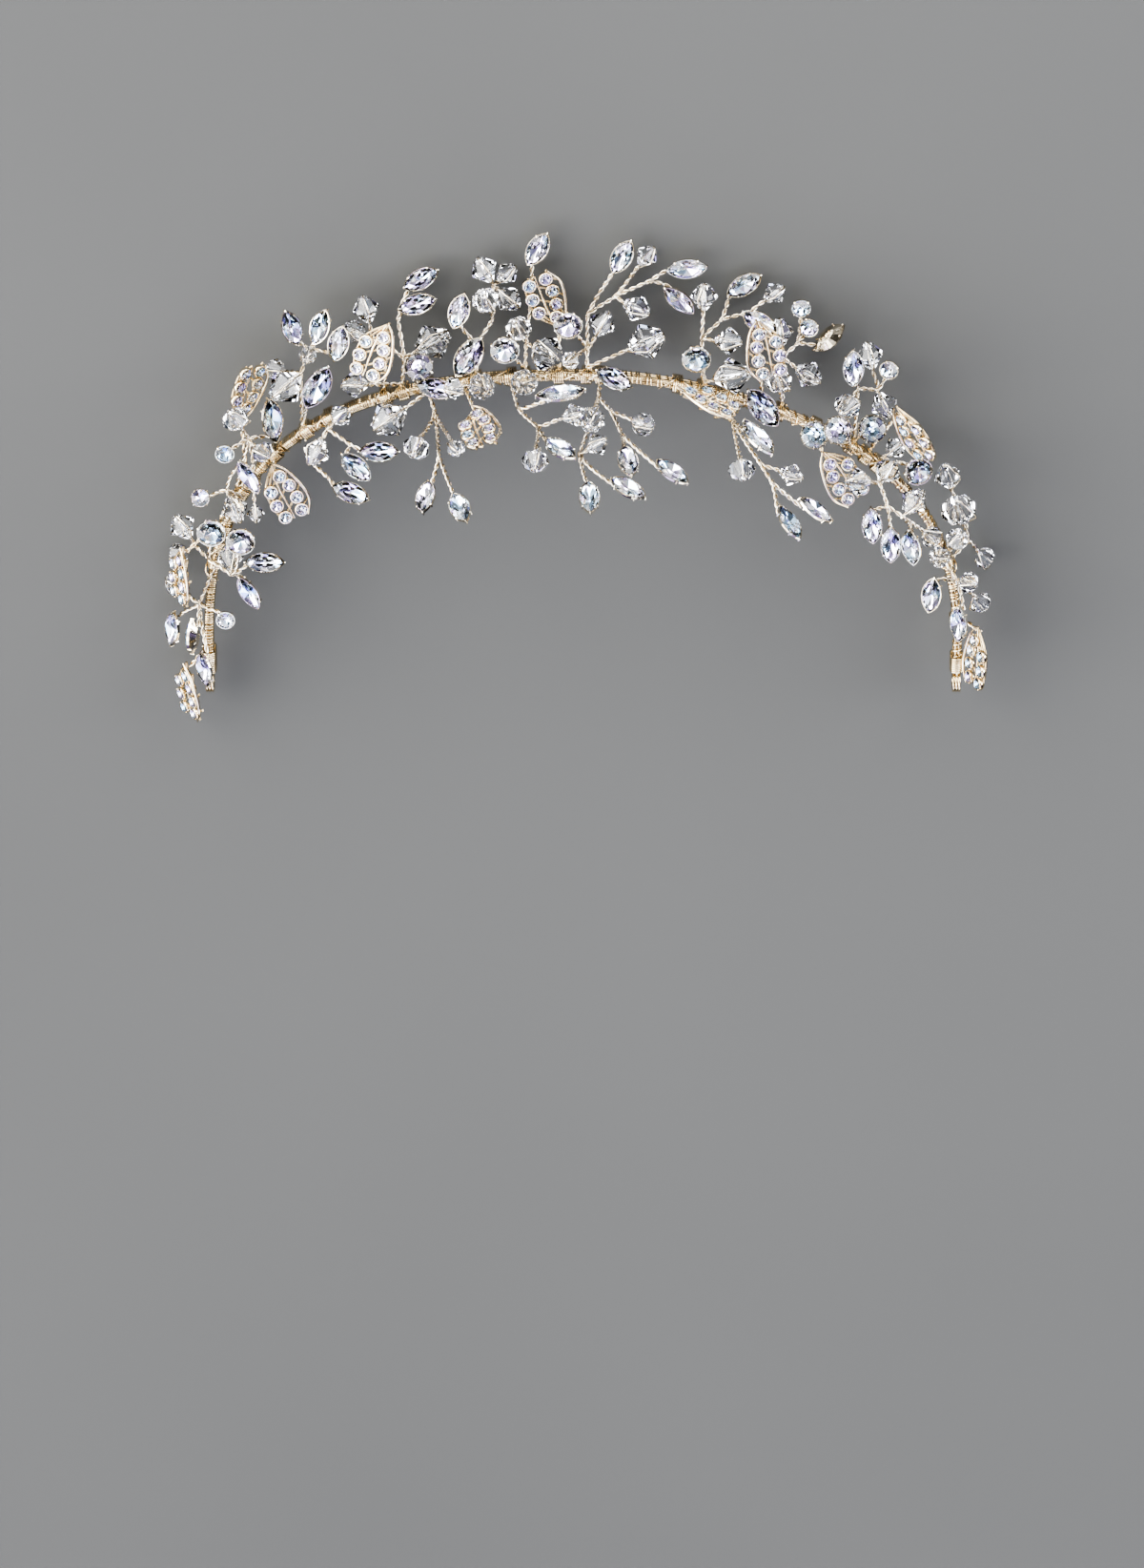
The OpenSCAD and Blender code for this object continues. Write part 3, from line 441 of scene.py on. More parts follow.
def stations(form, long, wide, shares):
    """Places round the outline at shares of a quarter turn, on all sides."""
    if form == "marquise":
        return [lens_station(long, wide, u, side) for u in shares for side in (1, -1)]
    return [round_station(long, math.pi / 2 * (u + quarter)) for u in shares for quarter in range(4)]


def tip_stations(form, long, wide):
    if form != "marquise":
        return []
    return [(Vector((s * long / 2, 0, 0)), Vector((s, 0, 0))) for s in (1, -1)]


def cut_stone(form, long, wide, rise, depth, table):
    """A closed stone. Faces under the girdle carry the second material, the foil."""
    bm = bmesh.new()
    blank = outline_face(bm, form, long, wide)
    bmesh.ops.translate(bm, vec=(0, 0, -depth), verts=bm.verts)
    grow(bm, blank, (0, 0, depth + rise), base=True)
    if form == "marquise":
        mains, halves = (-0.5, 0, 0.5), (-0.75, -0.25, 0.25, 0.75)
        quarters = (-0.875, -0.625, -0.375, -0.125, 0.125, 0.375, 0.625, 0.875)
    else:
        mains, halves, quarters = (0, 0.5), (0.25, 0.75), (0.125, 0.375, 0.625, 0.875)
    slope = rise - girdle
    for s in stations(form, long, wide, mains) + tip_stations(form, long, wide):
        facet(bm, s, (1, girdle), (table, rise))
        facet(bm, s, (1, -girdle), (0, -depth))
    for s in stations(form, long, wide, halves):
        facet(bm, s, (table * 0.98, rise), (table + 0.18, rise - 0.27 * slope))
    for s in stations(form, long, wide, quarters):
        facet(bm, s, (1, girdle), (0.82, girdle + 0.52 * slope))
    for face in bm.faces:
        face.material_index = int(face.calc_center_median().z < -girdle * 0.9)
    return as_template(bm, "stone")


def as_template(bm, name):
    bmesh.ops.remove_doubles(bm, verts=bm.verts, dist=1e-6)
    bmesh.ops.recalc_face_normals(bm, faces=bm.faces)
    mesh = bpy.data.meshes.new(name)
    bm.to_mesh(mesh)
    bm.free()
    return mesh


# kind: share of the table, depth under the girdle
CUTS = {"m8": (0.58, 1.0 * mm), "m10": (0.58, 1.25 * mm), "c6": (0.5, 1.3 * mm), "c4": (0.5, 1.0 * mm)}
fill = 0.16 * mm
STONES = {}
for kind, (table, deep) in CUTS.items():
    form, long, wide = KINDS[kind]
    STONES[kind] = cut_stone(form, long + fill, wide + fill, crown_rise, deep, table)
pave_shown = 2.4 * mm
STONES["pave"] = cut_stone("chaton", pave_shown, pave_shown, pave_depth, pave_depth, 0.62)
print({k: len(m.polygons) for k, m in STONES.items()}, "facets")

# %% [markdown]
# A crystal bead is turned about its own hole. A profile from the hole over the girdle and
# back is spun in a few steps, which gives the flats. On a bicone the edge round the widest
# place is bevelled into a narrow belt. Stones use two materials, so beads take the third.


# %% Beads
bead_hole_d = 0.9 * mm
bead_end = 0.3


def bead(form, long, d):
    bm = bmesh.new()
    bore = bead_hole_d / 2
    if form == "bicone":
        profile = [(-long / 2, bead_end * d / 2), (0, d / 2), (long / 2, bead_end * d / 2)]
        steps = 8
    else:
        rings = 6
        angles = [math.pi * (0.06 + 0.88 * k / rings) for k in range(rings + 1)]
        profile = [(-d / 2 * math.cos(a), d / 2 * math.sin(a)) for a in angles]
        steps = 10
    profile = [(profile[0][0], bore), *profile, (profile[-1][0], bore)]
    line = [bm.verts.new((x, r, 0)) for x, r in profile]
    edges = [bm.edges.new((a, b)) for a, b in zip(line, line[1:] + line[:1])]
    bmesh.ops.spin(bm, geom=line + edges, cent=(0, 0, 0), axis=(1, 0, 0),
                   angle=math.tau, steps=steps, use_merge=True)
    bmesh.ops.remove_doubles(bm, verts=bm.verts, dist=1e-6)
    if form == "bicone":
        girdle_edges = [e for e in bm.edges if all(abs(v.co.x) < 1e-6 for v in e.verts)]
        bmesh.ops.bevel(bm, geom=girdle_edges, offset=0.03 * d, offset_type="OFFSET", segments=1,
                        profile=0.5, affect="EDGES", material=-1)
    for face in bm.faces:
        face.material_index = 2
    return as_template(bm, "bead")


BEADS = {k: bead(*v) for k, v in KINDS.items() if is_bead(k)}
print({k: len(m.polygons) for k, m in BEADS.items()}, "flats")

# %% [markdown]
# A marquise or chaton sits in a thin cast cup with small claws bent over its edge. The cup
# is one outline face grown up to the girdle, inset for its wall and pushed down again. The
# claws are little six-sided stems whose top face is grown inwards over the stone.


# %% Settings
wall = 0.13 * mm
claw_r = 0.2 * mm
rim_over = 0.05 * mm
foot_long, foot_wide = 0.5, 0.45


def claw(bm, point, inward, low, high):
    """One claw that stands on the cup's wall and bends over the girdle."""
    before = set(bm.verts)
    bmesh.ops.create_circle(bm, cap_ends=True, segments=6, radius=claw_r)
    face = [f for f in bm.faces if not set(f.verts) & before][0]
    bmesh.ops.translate(bm, vec=point + Vector((0, 0, low)), verts=face.verts)
    face = grow(bm, face, (0, 0, high - low), 0.95, base=True)
    face = grow(bm, face, inward * 0.2 * mm + up_axis * 0.18 * mm, 0.85)
    grow(bm, face, inward * 0.26 * mm + up_axis * 0.02 * mm, 0.6)


def setting(form, long, wide, depth, claw_shares):
    bm = bmesh.new()
    more_wide = 2 * (stone_gap + wall)
    more_long = more_wide * (1.5 if form == "marquise" else 1)
    face = outline_face(bm, form, long + more_long, wide + more_wide)
    bmesh.ops.scale(bm, vec=(foot_long, foot_wide, 1), verts=bm.verts)
    bmesh.ops.translate(bm, vec=(0, 0, -depth), verts=bm.verts)
    face = grow(bm, face, (0, 0, depth * 0.72), base=True)
    bmesh.ops.scale(bm, vec=(1 / foot_long, 1 / foot_wide, 1), verts=face.verts)
    face = grow(bm, face, (0, 0, depth * 0.28 + rim_over))
    bmesh.ops.inset_individual(bm, faces=[face], thickness=wall, use_even_offset=True)
    grow(bm, face, (0, 0, -depth * 0.88), 0.3)
    outer = stations(form, long + more_long - wall, wide + more_wide - wall, claw_shares)
    if form == "marquise":
        outer += tip_stations(form, long + more_long - 2 * wall, wide)
    for p, n in outer:
        claw(bm, p, -n, -depth * 0.5, rim_over)
    return as_template(bm, "setting")


# kind: where the claws stand, as shares of a quarter turn
CLAWS = {"m8": (-0.5, 0.5), "m10": (-0.5, 0.5), "c6": (0.25, 0.75), "c4": (0.5,)}
SETTINGS = {kind: setting(*KINDS[kind], tray_depth, shares) for kind, shares in CLAWS.items()}
print({k: len(m.polygons) for k, m in SETTINGS.items()}, "faces in the settings")

# %% [markdown]
# Wire is round stock that follows a path, so a curve with a round bevel makes it. A twig is
# two strands twisted together: each strand goes round the twig's line at half the pitch
# from the other. The curves are turned into mesh and joined with the cast parts.


# %% Wire
strand_r = 0.21 * mm
strand_off = 0.30 * mm
pitch = 3.7 * mm
wire_step = 0.35 * mm
bend_pull = 0.36
tie_turns, tie_steps, tie_length = 5, 14, 2.2 * mm


def bend(start, start_way, end, end_way):
    """Points on a smooth line between two places that leaves and arrives in given ways."""
    reach = (end - start).length * bend_pull
    a, b = start + start_way * reach, end - end_way * reach
    count = max(4, round((end - start).length / wire_step))
    points = []
    for k in range(count + 1):
        t = k / count
        points.append(start * (1 - t) ** 3 + a * 3 * t * (1 - t) ** 2
                      + b * 3 * t * t * (1 - t) + end * t ** 3)
    return points


def twisted(points, phase):
    """Two strands round a line, as two lists of points."""
    strands, travelled = ([], []), 0.0
    normal = (points[1] - points[0]).orthogonal().normalized()
    for k, p in enumerate(points):
        ahead = (points[min(k + 1, len(points) - 1)] - points[max(k - 1, 0)]).normalized()
        normal = (normal - ahead * normal.dot(ahead)).normalized()
        other = ahead.cross(normal)
        if k:
            travelled += (p - points[k - 1]).length
        for n, strand in enumerate(strands):
            turn = phase + math.tau * travelled / pitch + math.pi * n
            strand.append(p + (normal * math.cos(turn) + other * math.sin(turn)) * strand_off)
    return strands


def add_wire(bm, runs, radius, cyclic=False, sides=1):
    """Sweeps a round wire along each run of points and adds it to the mesh."""
    curve = bpy.data.curves.new("wire", "CURVE")
    curve.dimensions, curve.bevel_depth, curve.bevel_resolution = "3D", radius, sides
    curve.use_fill_caps = not cyclic
    for run in runs:
        spline = curve.splines.new("POLY")
        spline.points.add(len(run) - 1)
        for point, target in zip(spline.points, run):
            co, thick = target if isinstance(target, tuple) else (target, 1.0)
            point.co = (*co, 1)
            point.radius = thick
        spline.use_cyclic_u = cyclic
    swept = bpy.data.objects.new("wire", curve)
    bpy.context.scene.collection.objects.link(swept)
    mesh = bpy.data.meshes.new_from_object(swept.evaluated_get(bpy.context.evaluated_depsgraph_get()))
    before = len(bm.faces)
    bm.from_mesh(mesh)
    bm.faces.ensure_lookup_table()
    for face in bm.faces[before:]:
        face.smooth = True
    bpy.data.objects.remove(swept)
    bpy.data.curves.remove(curve)
    bpy.data.meshes.remove(mesh)


def oval(turn, thick, wide, power):
    """A place on a squarish oval round the band: how far outward, how far to the front."""
    c, s = math.cos(turn), math.sin(turn)
    return Vector((math.copysign(abs(c) ** power, c) * thick, math.copysign(abs(s) ** power, s) * wide))


def winding(way, turns, phase, length, wire=strand_r):
    """A few turns of wire round the band."""
    p, out, along = band_point(way), outward(way), band_tangent(way)
    wide, thick = band_width / 2 + winding_gap + wire, band_thick / 2 + winding_gap + wire
    run, steps = [], turns * tie_steps
    for k in range(steps + 1):
        flat = oval(phase + math.tau * k / tie_steps, thick, wide, 0.6)
        drift = length * (k / steps - 0.5)
        run.append(p + out * flat.x + up_axis * flat.y + along * drift)
    return run


def add_in(bm, material, runs, radius, sides=1):
    """Adds wire in another material of the piece."""
    first = len(bm.faces)
    add_wire(bm, runs, radius, sides=sides)
    bm.faces.ensure_lookup_table()
    for face in bm.faces[first:]:
        face.material_index = material


def loose_wire(way, side):
    """A slack turn that leaves the tie, arcs over the band and comes back to it further on."""
    far = way + side * dice.uniform(0.025, 0.045)
    far = min(max(far, -0.97), 0.97)
    over, under = dice.uniform(0.5, 2.4) * mm, dice.uniform(-1.6, 1.6) * mm
    a, b, m = (band_point(w) for w in (way, far, (way + far) / 2))
    start = a + outward(way) * (band_thick / 2 + 0.3 * mm) + up_axis * under
    top = m + outward(way) * (band_thick / 2 + 0.5 * mm) + up_axis * (band_width / 2 + over)
    end = b + outward(far) * (-band_thick / 2 - 0.2 * mm) + up_axis * band_width * 0.3
    lift = (top - start).normalized()
    fall = (end - top).normalized()
    middle = (lift + fall).normalized()
    return bend(start, lift, top, middle) + bend(top, middle, end, fall)[1:]


def add_tie(bm, way, material):
    """The winding that ties a twig to the band, in a gold of its own."""
    wires = [winding(way, tie_turns, dice.random() * math.tau, tie_length)]
    if abs(way) < 0.93:
        wires += [loose_wire(way, side) for side in (-1, 1)]
    add_in(bm, material, wires, strand_r)


print("a strand is", round(2 * strand_r / mm, 2), "mm thick")


# %% Put a template in its place
def stamp(bm, mesh, matrix):
    first = len(bm.verts)
    bm.from_mesh(mesh)
    bm.verts.ensure_lookup_table()
    bmesh.ops.transform(bm, matrix=matrix, verts=bm.verts[first:])


def make_piece(bm, name, materials, node):
    """Lays the mesh down with the solids, names it and lets it stand for its solid."""
    bmesh.ops.translate(bm, vec=lie_down, verts=bm.verts)
    bmesh.ops.recalc_face_normals(bm, faces=bm.faces)
    mesh = bpy.data.meshes.new(name)
    bm.to_mesh(mesh)
    bm.free()
    piece = bpy.data.objects.new(name, mesh)
    for material in materials:
        mesh.materials.append(material)
    bpy.context.scene.collection.objects.link(piece)
    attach(piece, "root")
    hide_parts(node)
    return piece


print("helpers are ready")

# %% [markdown]
# The finishes are procedural. The wires are gilt brass: warm on the long wires of the band
# and darker there than on the winding, which is painted shade under its turns, and pale on
# the twigs. A still darker shaded gilt is painted shade on the leaves' ribs and on the thin
# cores between twisted strands. Noise varies the colour and the polish a little, as plating
# does. Clear crystal is glass of a high index. The marquises, chatons and leaf stones have
# silver foil under them, which is why they flash white beside the clear beads.


# %% Noise that colours and polishes
def map_range(nodes, *ends):
    """Maps a value: from the least, from the greatest, to the least, to the greatest."""
    node = nodes.new("ShaderNodeMapRange")
    for name, value in zip(("From Min", "From Max", "To Min", "To Max"), ends):
        node.inputs[name].default_value = value
    return node


def colour_ramp(nodes, stops):
    """A ramp through stops of (position, colour)."""
    ramp = nodes.new("ShaderNodeValToRGB")
    elements = ramp.color_ramp.elements
    for element, (position, colour) in zip(elements, (stops[0], stops[-1])):
        element.position, element.color = position, (*colour, 1)
    for position, colour in stops[1:-1]:
        elements.new(position).color = (*colour, 1)
    return ramp


def finish(name, constants, scale, stops, rough=None, detail=2):
    """A material with constants on its shader, and one noise for its colour and roughness."""
    material = bpy.data.materials.new(name)
    material.use_nodes = True
    nodes, links = material.node_tree.nodes, material.node_tree.links
    shader = nodes["Principled BSDF"]
    for socket, value in constants.items():
        shader.inputs[socket].default_value = value
    place_of = nodes.new("ShaderNodeTexCoord")
    noise = nodes.new("ShaderNodeTexNoise")
    noise.inputs["Scale"].default_value, noise.inputs["Detail"].default_value = scale, detail
    ramp = colour_ramp(nodes, stops)
    links.new(place_of.outputs["Object"], noise.inputs["Vector"])
    links.new(noise.outputs["Fac"], ramp.inputs["Fac"])
    links.new(ramp.outputs["Color"], shader.inputs["Base Color"])
    if rough:
        polish = map_range(nodes, 0, 1, *rough)
        links.new(noise.outputs["Fac"], polish.inputs["Value"])
        links.new(polish.outputs["Result"], shader.inputs["Roughness"])
    return material


print("one helper makes each finish")


# %% Gold finishes
def gold(name, dark, light, rough, scale):
    material = finish(name, {"Metallic": 1.0}, scale, [(0.3, dark), (0.62, light)], rough, 4)
    nodes, links = material.node_tree.nodes, material.node_tree.links
    fine = nodes.new("ShaderNodeTexNoise")
    fine.inputs["Scale"].default_value = scale * 9
    bump = nodes.new("ShaderNodeBump")
    bump.inputs["Strength"].default_value, bump.inputs["Distance"].default_value = 0.25, 0.00006
    links.new(nodes["Texture Coordinate"].outputs["Object"], fine.inputs["Vector"])
    links.new(fine.outputs["Fac"], bump.inputs["Height"])
    links.new(bump.outputs["Normal"], nodes["Principled BSDF"].inputs["Normal"])
    return material


# the long wires are a darker gilt than the winding: painted shade under its turns
band_gold = gold("band_gilt_painted_shade", (0.26, 0.18, 0.09), (0.76, 0.61, 0.38), (0.12, 0.26), 260)
wound_gold = gold("bright_gilt_wire", (0.50, 0.38, 0.21), (0.95, 0.82, 0.58), (0.04, 0.13), 400)
twig_gold = gold("pale_gilt_wire", (0.40, 0.33, 0.23), (0.93, 0.86, 0.72), (0.03, 0.12), 400)
leaf_gold = gold("cast_gilt", (0.66, 0.51, 0.30), (0.97, 0.86, 0.64), (0.04, 0.15), 500)
# shaded gilt: painted shade on the leaves' ribs and the cores between twisted strands
shaded_gold = gold("shaded_gilt", (0.34, 0.25, 0.13), (0.74, 0.60, 0.38), (0.18, 0.36), 600)
print("gold:", band_gold.name, wound_gold.name, twig_gold.name, leaf_gold.name, shaded_gold.name)


# %% Crystal and foil
def crystal(name, tint, index):
    constants = {"Transmission Weight": 1.0, "IOR": index}
    return finish(name, constants, 180, [(0, tint), (1, (1, 1, 1))], (0.0, 0.012))


clear_crystal = crystal("clear_crystal", (0.94, 0.96, 1.0), 1.58)
stone_crystal = crystal("foiled_crystal", (0.96, 0.97, 1.0), 1.56)
FOIL = [(0.38, (0.62, 0.82, 0.98)), (0.5, (0.97, 0.97, 0.98)), (0.60, (0.82, 0.73, 0.99))]
silver_foil = finish("silver_foil", {"Metallic": 1.0}, 330, FOIL, (0.02, 0.08))
print("stones:", clear_crystal.name, stone_crystal.name, silver_foil.name)

# %% [markdown]
# The band of the real piece is a flat bundle of long gold wires, wound crosswise with a
# thinner wire in uneven turns, close together on one side and further apart on the other.
# Long wires and winding are swept as wire. The photo hides the ends, so they are plain: each
# is wound closely over the tails of a small eye of the same wire.

# %% Band
core_r = 0.36 * mm
wrap_r = 0.19 * mm
core_rows = (-1.5, -0.5, 0.5, 1.5)
row_gap = 2.35 * core_r
long_steps = 180


def along_band(length, out_shift, front_shift):
    way = way_at(length)
    return band_point(way) + outward(way) * out_shift + up_axis * front_shift


band_bm = bmesh.new()
long_wires = []
for layer in (-1, 1):
    for row in core_rows:
        sway = dice.random() * math.tau
        run = []
        for k in range(long_steps + 1):
            length = arch_length * k / long_steps
            wander = 0.10 * mm * math.sin(sway + 0.19 * k) + 0.05 * mm * math.sin(2 * sway + 0.7 * k)
            run.append(along_band(length, layer * core_r, row * row_gap + wander))
        long_wires.append(run)
add_wire(band_bm, long_wires, core_r)
print("long wires:", len(long_wires))

# %% Winding of the band
# millimetres of the band that a turn takes, where it is wound closely and widely
CLOSE_TURNS = (0.40, 0.43, 0.48, 0.6, 0.95)
WIDE_TURNS = (0.5, 0.7, 1.1, 1.7, 2.2)
close_share = 0.45
bare_end = 1.5 * mm
steps_of_turn = 12
thick, wide = 2 * core_r + wrap_r, 1.5 * row_gap + core_r + wrap_r
wrap, length, turn = [], bare_end, 0.0
while length < arch_length - bare_end:
    if len(wrap) % steps_of_turn == 0:
        spread = dice.choice(CLOSE_TURNS if length < close_share * arch_length else WIDE_TURNS) * mm
    flat = oval(turn, thick, wide, 0.55)
    wrap.append(along_band(length, flat.x, flat.y))
    turn += math.tau / steps_of_turn
    length += spread / steps_of_turn
add_in(band_bm, 1, [wrap], wrap_r)
print("the winding goes round", len(wrap) // steps_of_turn, "times")

# %% Wound ends of the band
end_in = 2.2 * mm
end_ways = (way_at(end_in), way_at(arch_length - end_in))
add_in(band_bm, 1, [winding(way, 8, 0.3, 3.6 * mm, wrap_r) for way in end_ways], wrap_r)
band_piece = make_piece(band_bm, "band_wires", [band_gold, wound_gold], "band")
print("band:", len(band_piece.data.polygons), "faces")

# %% Eyes at the ends of the band
eye_bm = bmesh.new()
eye_runs, tails = [], []
eye_wire_r = 0.31 * mm
ring_steps = 24
tail = [(1.2 * mm, 1.0 * mm), (0.4 * mm, 1.5 * mm), (-0.6 * mm, 1.72 * mm), (-3.4 * mm, 1.74 * mm)]
for end in (-1, 1):
    down = band_tangent(end) * end
    middle = band_point(end) + down * (eyelet_d / 2 + eyelet_gap)
    for shift in (-2 * eye_wire_r, 0, 2 * eye_wire_r):
        for ring_r in (eyelet_hole_d / 2 + eye_wire_r, eyelet_d / 2 - eye_wire_r):
            ring = []
            for k in range(ring_steps):
                a = math.tau * k / ring_steps
                ring.append(middle + Vector((shift, math.cos(a) * ring_r, math.sin(a) * ring_r)))
            eye_runs.append(ring)
    for side in (-1, 1):
        tails.append([band_point(end) + down * y + up_axis * side * z for y, z in tail])
add_wire(eye_bm, eye_runs, eye_wire_r, cyclic=True, sides=2)
add_wire(eye_bm, tails, eye_wire_r, sides=2)
eye_piece = make_piece(eye_bm, "eyelet_wires", [wound_gold], "end_eyelets")
print("eyes:", len(eye_piece.data.polygons), "faces")

# %% [markdown]
# In each spray the twisted pair divides at its joints, as the maker splits and twists the
# wire. At a bead one strand goes through the hole, turns at the tip and comes back along
# the outside, and at the outermost beads it runs below. At a stone the pair is soldered
# under the setting.


# %% Twigs of a spray
def bead_loop(matrix, long, d, swing):
    """The wire through a bead: in at the near end, round the tip and back outside."""
    c, s = math.cos(swing), math.sin(swing)
    half, end, out = long / 2, bead_end * d / 2 + strand_r, d / 2 + strand_r
    line = [(-half - 0.5 * mm, 0), (-half, 0), (0, 0), (half, 0), (half + 0.2 * mm, 0.06 * mm),
            (half + 0.26 * mm, 0.4 * mm), (half + 0.1 * mm, end), (0.12 * half, out), (-0.12 * half, out),
            (-half + 0.05 * mm, end), (-half - 0.7 * mm, 0.25 * mm)]
    return [matrix @ Vector((x, r * s, r * c)) for x, r in line]


outermost = 105


def spray_twigs(spray):
    bm = bmesh.new()
    pairs, loops = [], []
    ways_in = {-1: None}
    for number, (source, *_) in enumerate(spray.joints):
        end = joint_at(spray, number)
        start = twig_start(spray, source, end)
        straight = (end - start).normalized()
        first = ways_in[source] or straight
        mix = (first * 0.45 + straight).normalized()
        ways_in[number] = straight
        pairs.append(bend(start, mix, end, straight))
    for piece in spray.pieces:
        form, long, wide = KINDS[piece.kind]
        matrix = piece_matrix(spray, piece)
        middle = matrix.translation
        start = twig_start(spray, piece.joint, middle)
        if is_bead(piece.kind):
            end = matrix @ Vector((-long / 2 - 0.5 * mm, 0, 0))
            arrive = (middle - start).normalized()
            aside = -math.pi / 2 if piece.across > outermost else 0
            loops.append(bead_loop(matrix, long, wide, aside + dice.uniform(-0.8, 0.8)))
        else:
            back = -0.34 * long if form == "marquise" else 0
            end = matrix @ Vector((back, 0, -tray_depth - strand_r))
            straight = (end - start).normalized()
            arrive = (matrix.to_3x3() @ Vector((1, 0, 0)) * 0.5 + straight).normalized()
            stamp(bm, SETTINGS[piece.kind], matrix)
        straight = (end - start).normalized()
        first = ways_in[piece.joint] or straight
        pairs.append(bend(start, (first * 0.5 + straight).normalized(), end, arrive))
    strands = [s for p in pairs for s in twisted(p, dice.random() * math.tau)]
    add_wire(bm, strands, strand_r)
    # a thin core in shaded gilt between the two strands: painted shade in the twist
    add_in(bm, 2, pairs, strand_off - strand_r)
    add_wire(bm, loops, strand_r * 0.95)
    add_tie(bm, spray.way, 1)
    return bm


faces = 0
for number, spray in enumerate(SPRAYS, 1):
    piece = make_piece(spray_twigs(spray), f"spray_{number:02d}_twigs",
                       [twig_gold, wound_gold, shaded_gold],
                       f"spray_{number:02d}_wire")
    faces += len(piece.data.polygons)
print("twigs and settings:", faces, "faces")

# %% Stones and beads of the sprays
CRYSTALS = {**STONES, **BEADS}
for number, spray in enumerate(SPRAYS, 1):
    bm = bmesh.new()
    for piece in spray.pieces:
        stamp(bm, CRYSTALS[piece.kind], piece_matrix(spray, piece))
    make_piece(bm, f"spray_{number:02d}_stones", [stone_crystal, silver_foil, clear_crystal],
               f"spray_{number:02d}_crystals")
print("stones and beads of", len(SPRAYS), "sprays are set")

# %% [markdown]
# A leaf is one openwork casting: a cup round each stone, ribs that join the cups, a vein and
# a smooth raised rim on one side. The cups are grown from round outlines, and the ribs, the
# vein and the rim are wires, of which the last two taper at their ends.


# %% Leaves
def smooth_line(points, steps):
    """A line through all the points, rounded between them."""
    ends = [points[0] * 2 - points[1], *points, points[-1] * 2 - points[-2]]
    line = []
    for a, b, c, d in zip(ends, ends[1:], ends[2:], ends[3:]):
        for k in range(steps):
            t = k / steps
            line.append(0.5 * (2 * b + (c - a) * t + (2 * a - 5 * b + 4 * c - d) * t * t
                               + (3 * b - a - 3 * c + d) * t ** 3))
    return line + [points[-1]]


def leaf_points(shares, z=0.0):
    return [Vector((x * leaf_length, y * leaf_width, z)) for x, y in shares]


def cup_template():
    bm = bmesh.new()
    foot, outer = 0.72, pave_shown + 2 * 0.30 * mm
    face = outline_face(bm, "chaton", outer * foot, outer * foot)
    bmesh.ops.translate(bm, vec=(0, 0, leaf_plate * 0.2), verts=bm.verts)
    face = grow(bm, face, (0, 0, leaf_plate * 0.8), 1 / foot, base=True)
    face = grow(bm, face, (0, 0, cup_height * 0.8))
    face = grow(bm, face, (0, 0, cup_height * 0.2), 0.93)
    bmesh.ops.inset_individual(bm, faces=[face], thickness=0.2 * mm)
    grow(bm, face, (0, 0, -pave_depth - stone_gap))
    for face in bm.faces:
        face.smooth = abs(face.normal.z) < 0.9
    for k in range(4):
        a = math.pi / 4 + k * math.pi / 2
        way = Vector((math.cos(a), math.sin(a), 0))
        bmesh.ops.create_icosphere(bm, subdivisions=1, radius=0.14 * mm, matrix=Matrix.Translation(
            way * (pave_shown / 2 + 0.04 * mm) + up_axis * (leaf_plate + cup_height + 0.03 * mm)))
    return as_template(bm, "cup")


CUP = cup_template()


def tapered(line, height, thick):
    """A smooth line with a share of the wire's thickness at each point, thin at the ends."""
    points = smooth_line(leaf_points(line, height), 6)
    last = len(points) - 1
    return [(p, thick * (0.45 + 0.55 * math.sin(math.pi * k / last))) for k, p in enumerate(points)]


def leaf_casting(leaf):
    bm = bmesh.new()
    for seat in leaf_points(LEAF_SEATS):
        stamp(bm, CUP, Matrix.Translation(seat))
    add_wire(bm, [tapered(LEAF_RIM, leaf_plate + rim_height * 0.5, 1.0),
                  tapered(LEAF_VEIN, leaf_plate, 0.8)], 0.36 * mm, sides=2)
    ribs = [(LEAF_RIM[0], LEAF_SEATS[0], LEAF_SEATS[1], LEAF_SEATS[2], LEAF_SEATS[3], LEAF_RIM[4]),
            (LEAF_VEIN[0], LEAF_SEATS[4], LEAF_SEATS[5], LEAF_SEATS[6], LEAF_VEIN[2]),
            (LEAF_VEIN[0], LEAF_PLATE[8], LEAF_PLATE[7], LEAF_PLATE[6], LEAF_PLATE[5])]
    ribs += [(LEAF_SEATS[k], LEAF_SEATS[k + 4]) for k in range(3)]
    ribs += [(LEAF_SEATS[k], LEAF_RIM[k]) for k in (1, 2, 3)]
    # the ribs lie low between the cups and take the shaded gilt: painted shade
    add_in(bm, 1, [smooth_line(leaf_points(rib, leaf_plate * 0.6), 4) for rib in ribs], 0.26 * mm, sides=2)
    bmesh.ops.transform(bm, matrix=leaf_matrix(leaf), verts=bm.verts)
    stem = leaf_matrix(leaf) @ Vector((-0.4 * leaf_length, 0, -twig_d / 4))
    start = winding_start(leaf.way, stem)
    straight = (stem - start).normalized()
    line = bend(start, straight, stem, straight)
    add_wire(bm, twisted(line, dice.random() * math.tau), strand_r)
    # a thin core in shaded gilt between the strands: painted shade in the twist
    add_in(bm, 1, [line], strand_off - strand_r)
    add_tie(bm, leaf.way, 2)
    return bm


for number, leaf in enumerate(LEAVES, 1):
    make_piece(leaf_casting(leaf), f"leaf_{number:02d}_casting", [leaf_gold, shaded_gold, wound_gold],
               f"leaf_{number:02d}")
    bm = bmesh.new()
    for seat in leaf_points(LEAF_SEATS, leaf_plate + cup_height - stone_gap):
        stamp(bm, STONES["pave"], leaf_matrix(leaf) @ Matrix.Translation(seat))
    make_piece(bm, f"leaf_{number:02d}_pave", [stone_crystal, silver_foil],
               f"leaf_{number:02d}_stones")
print(len(LEAVES), "leaves are cast and set")

# %% [markdown]
# The diadem lies on a plain pale floor under soft studio light: a large soft light from the
# upper left, and weaker ones from the right, the left, the front and the back.


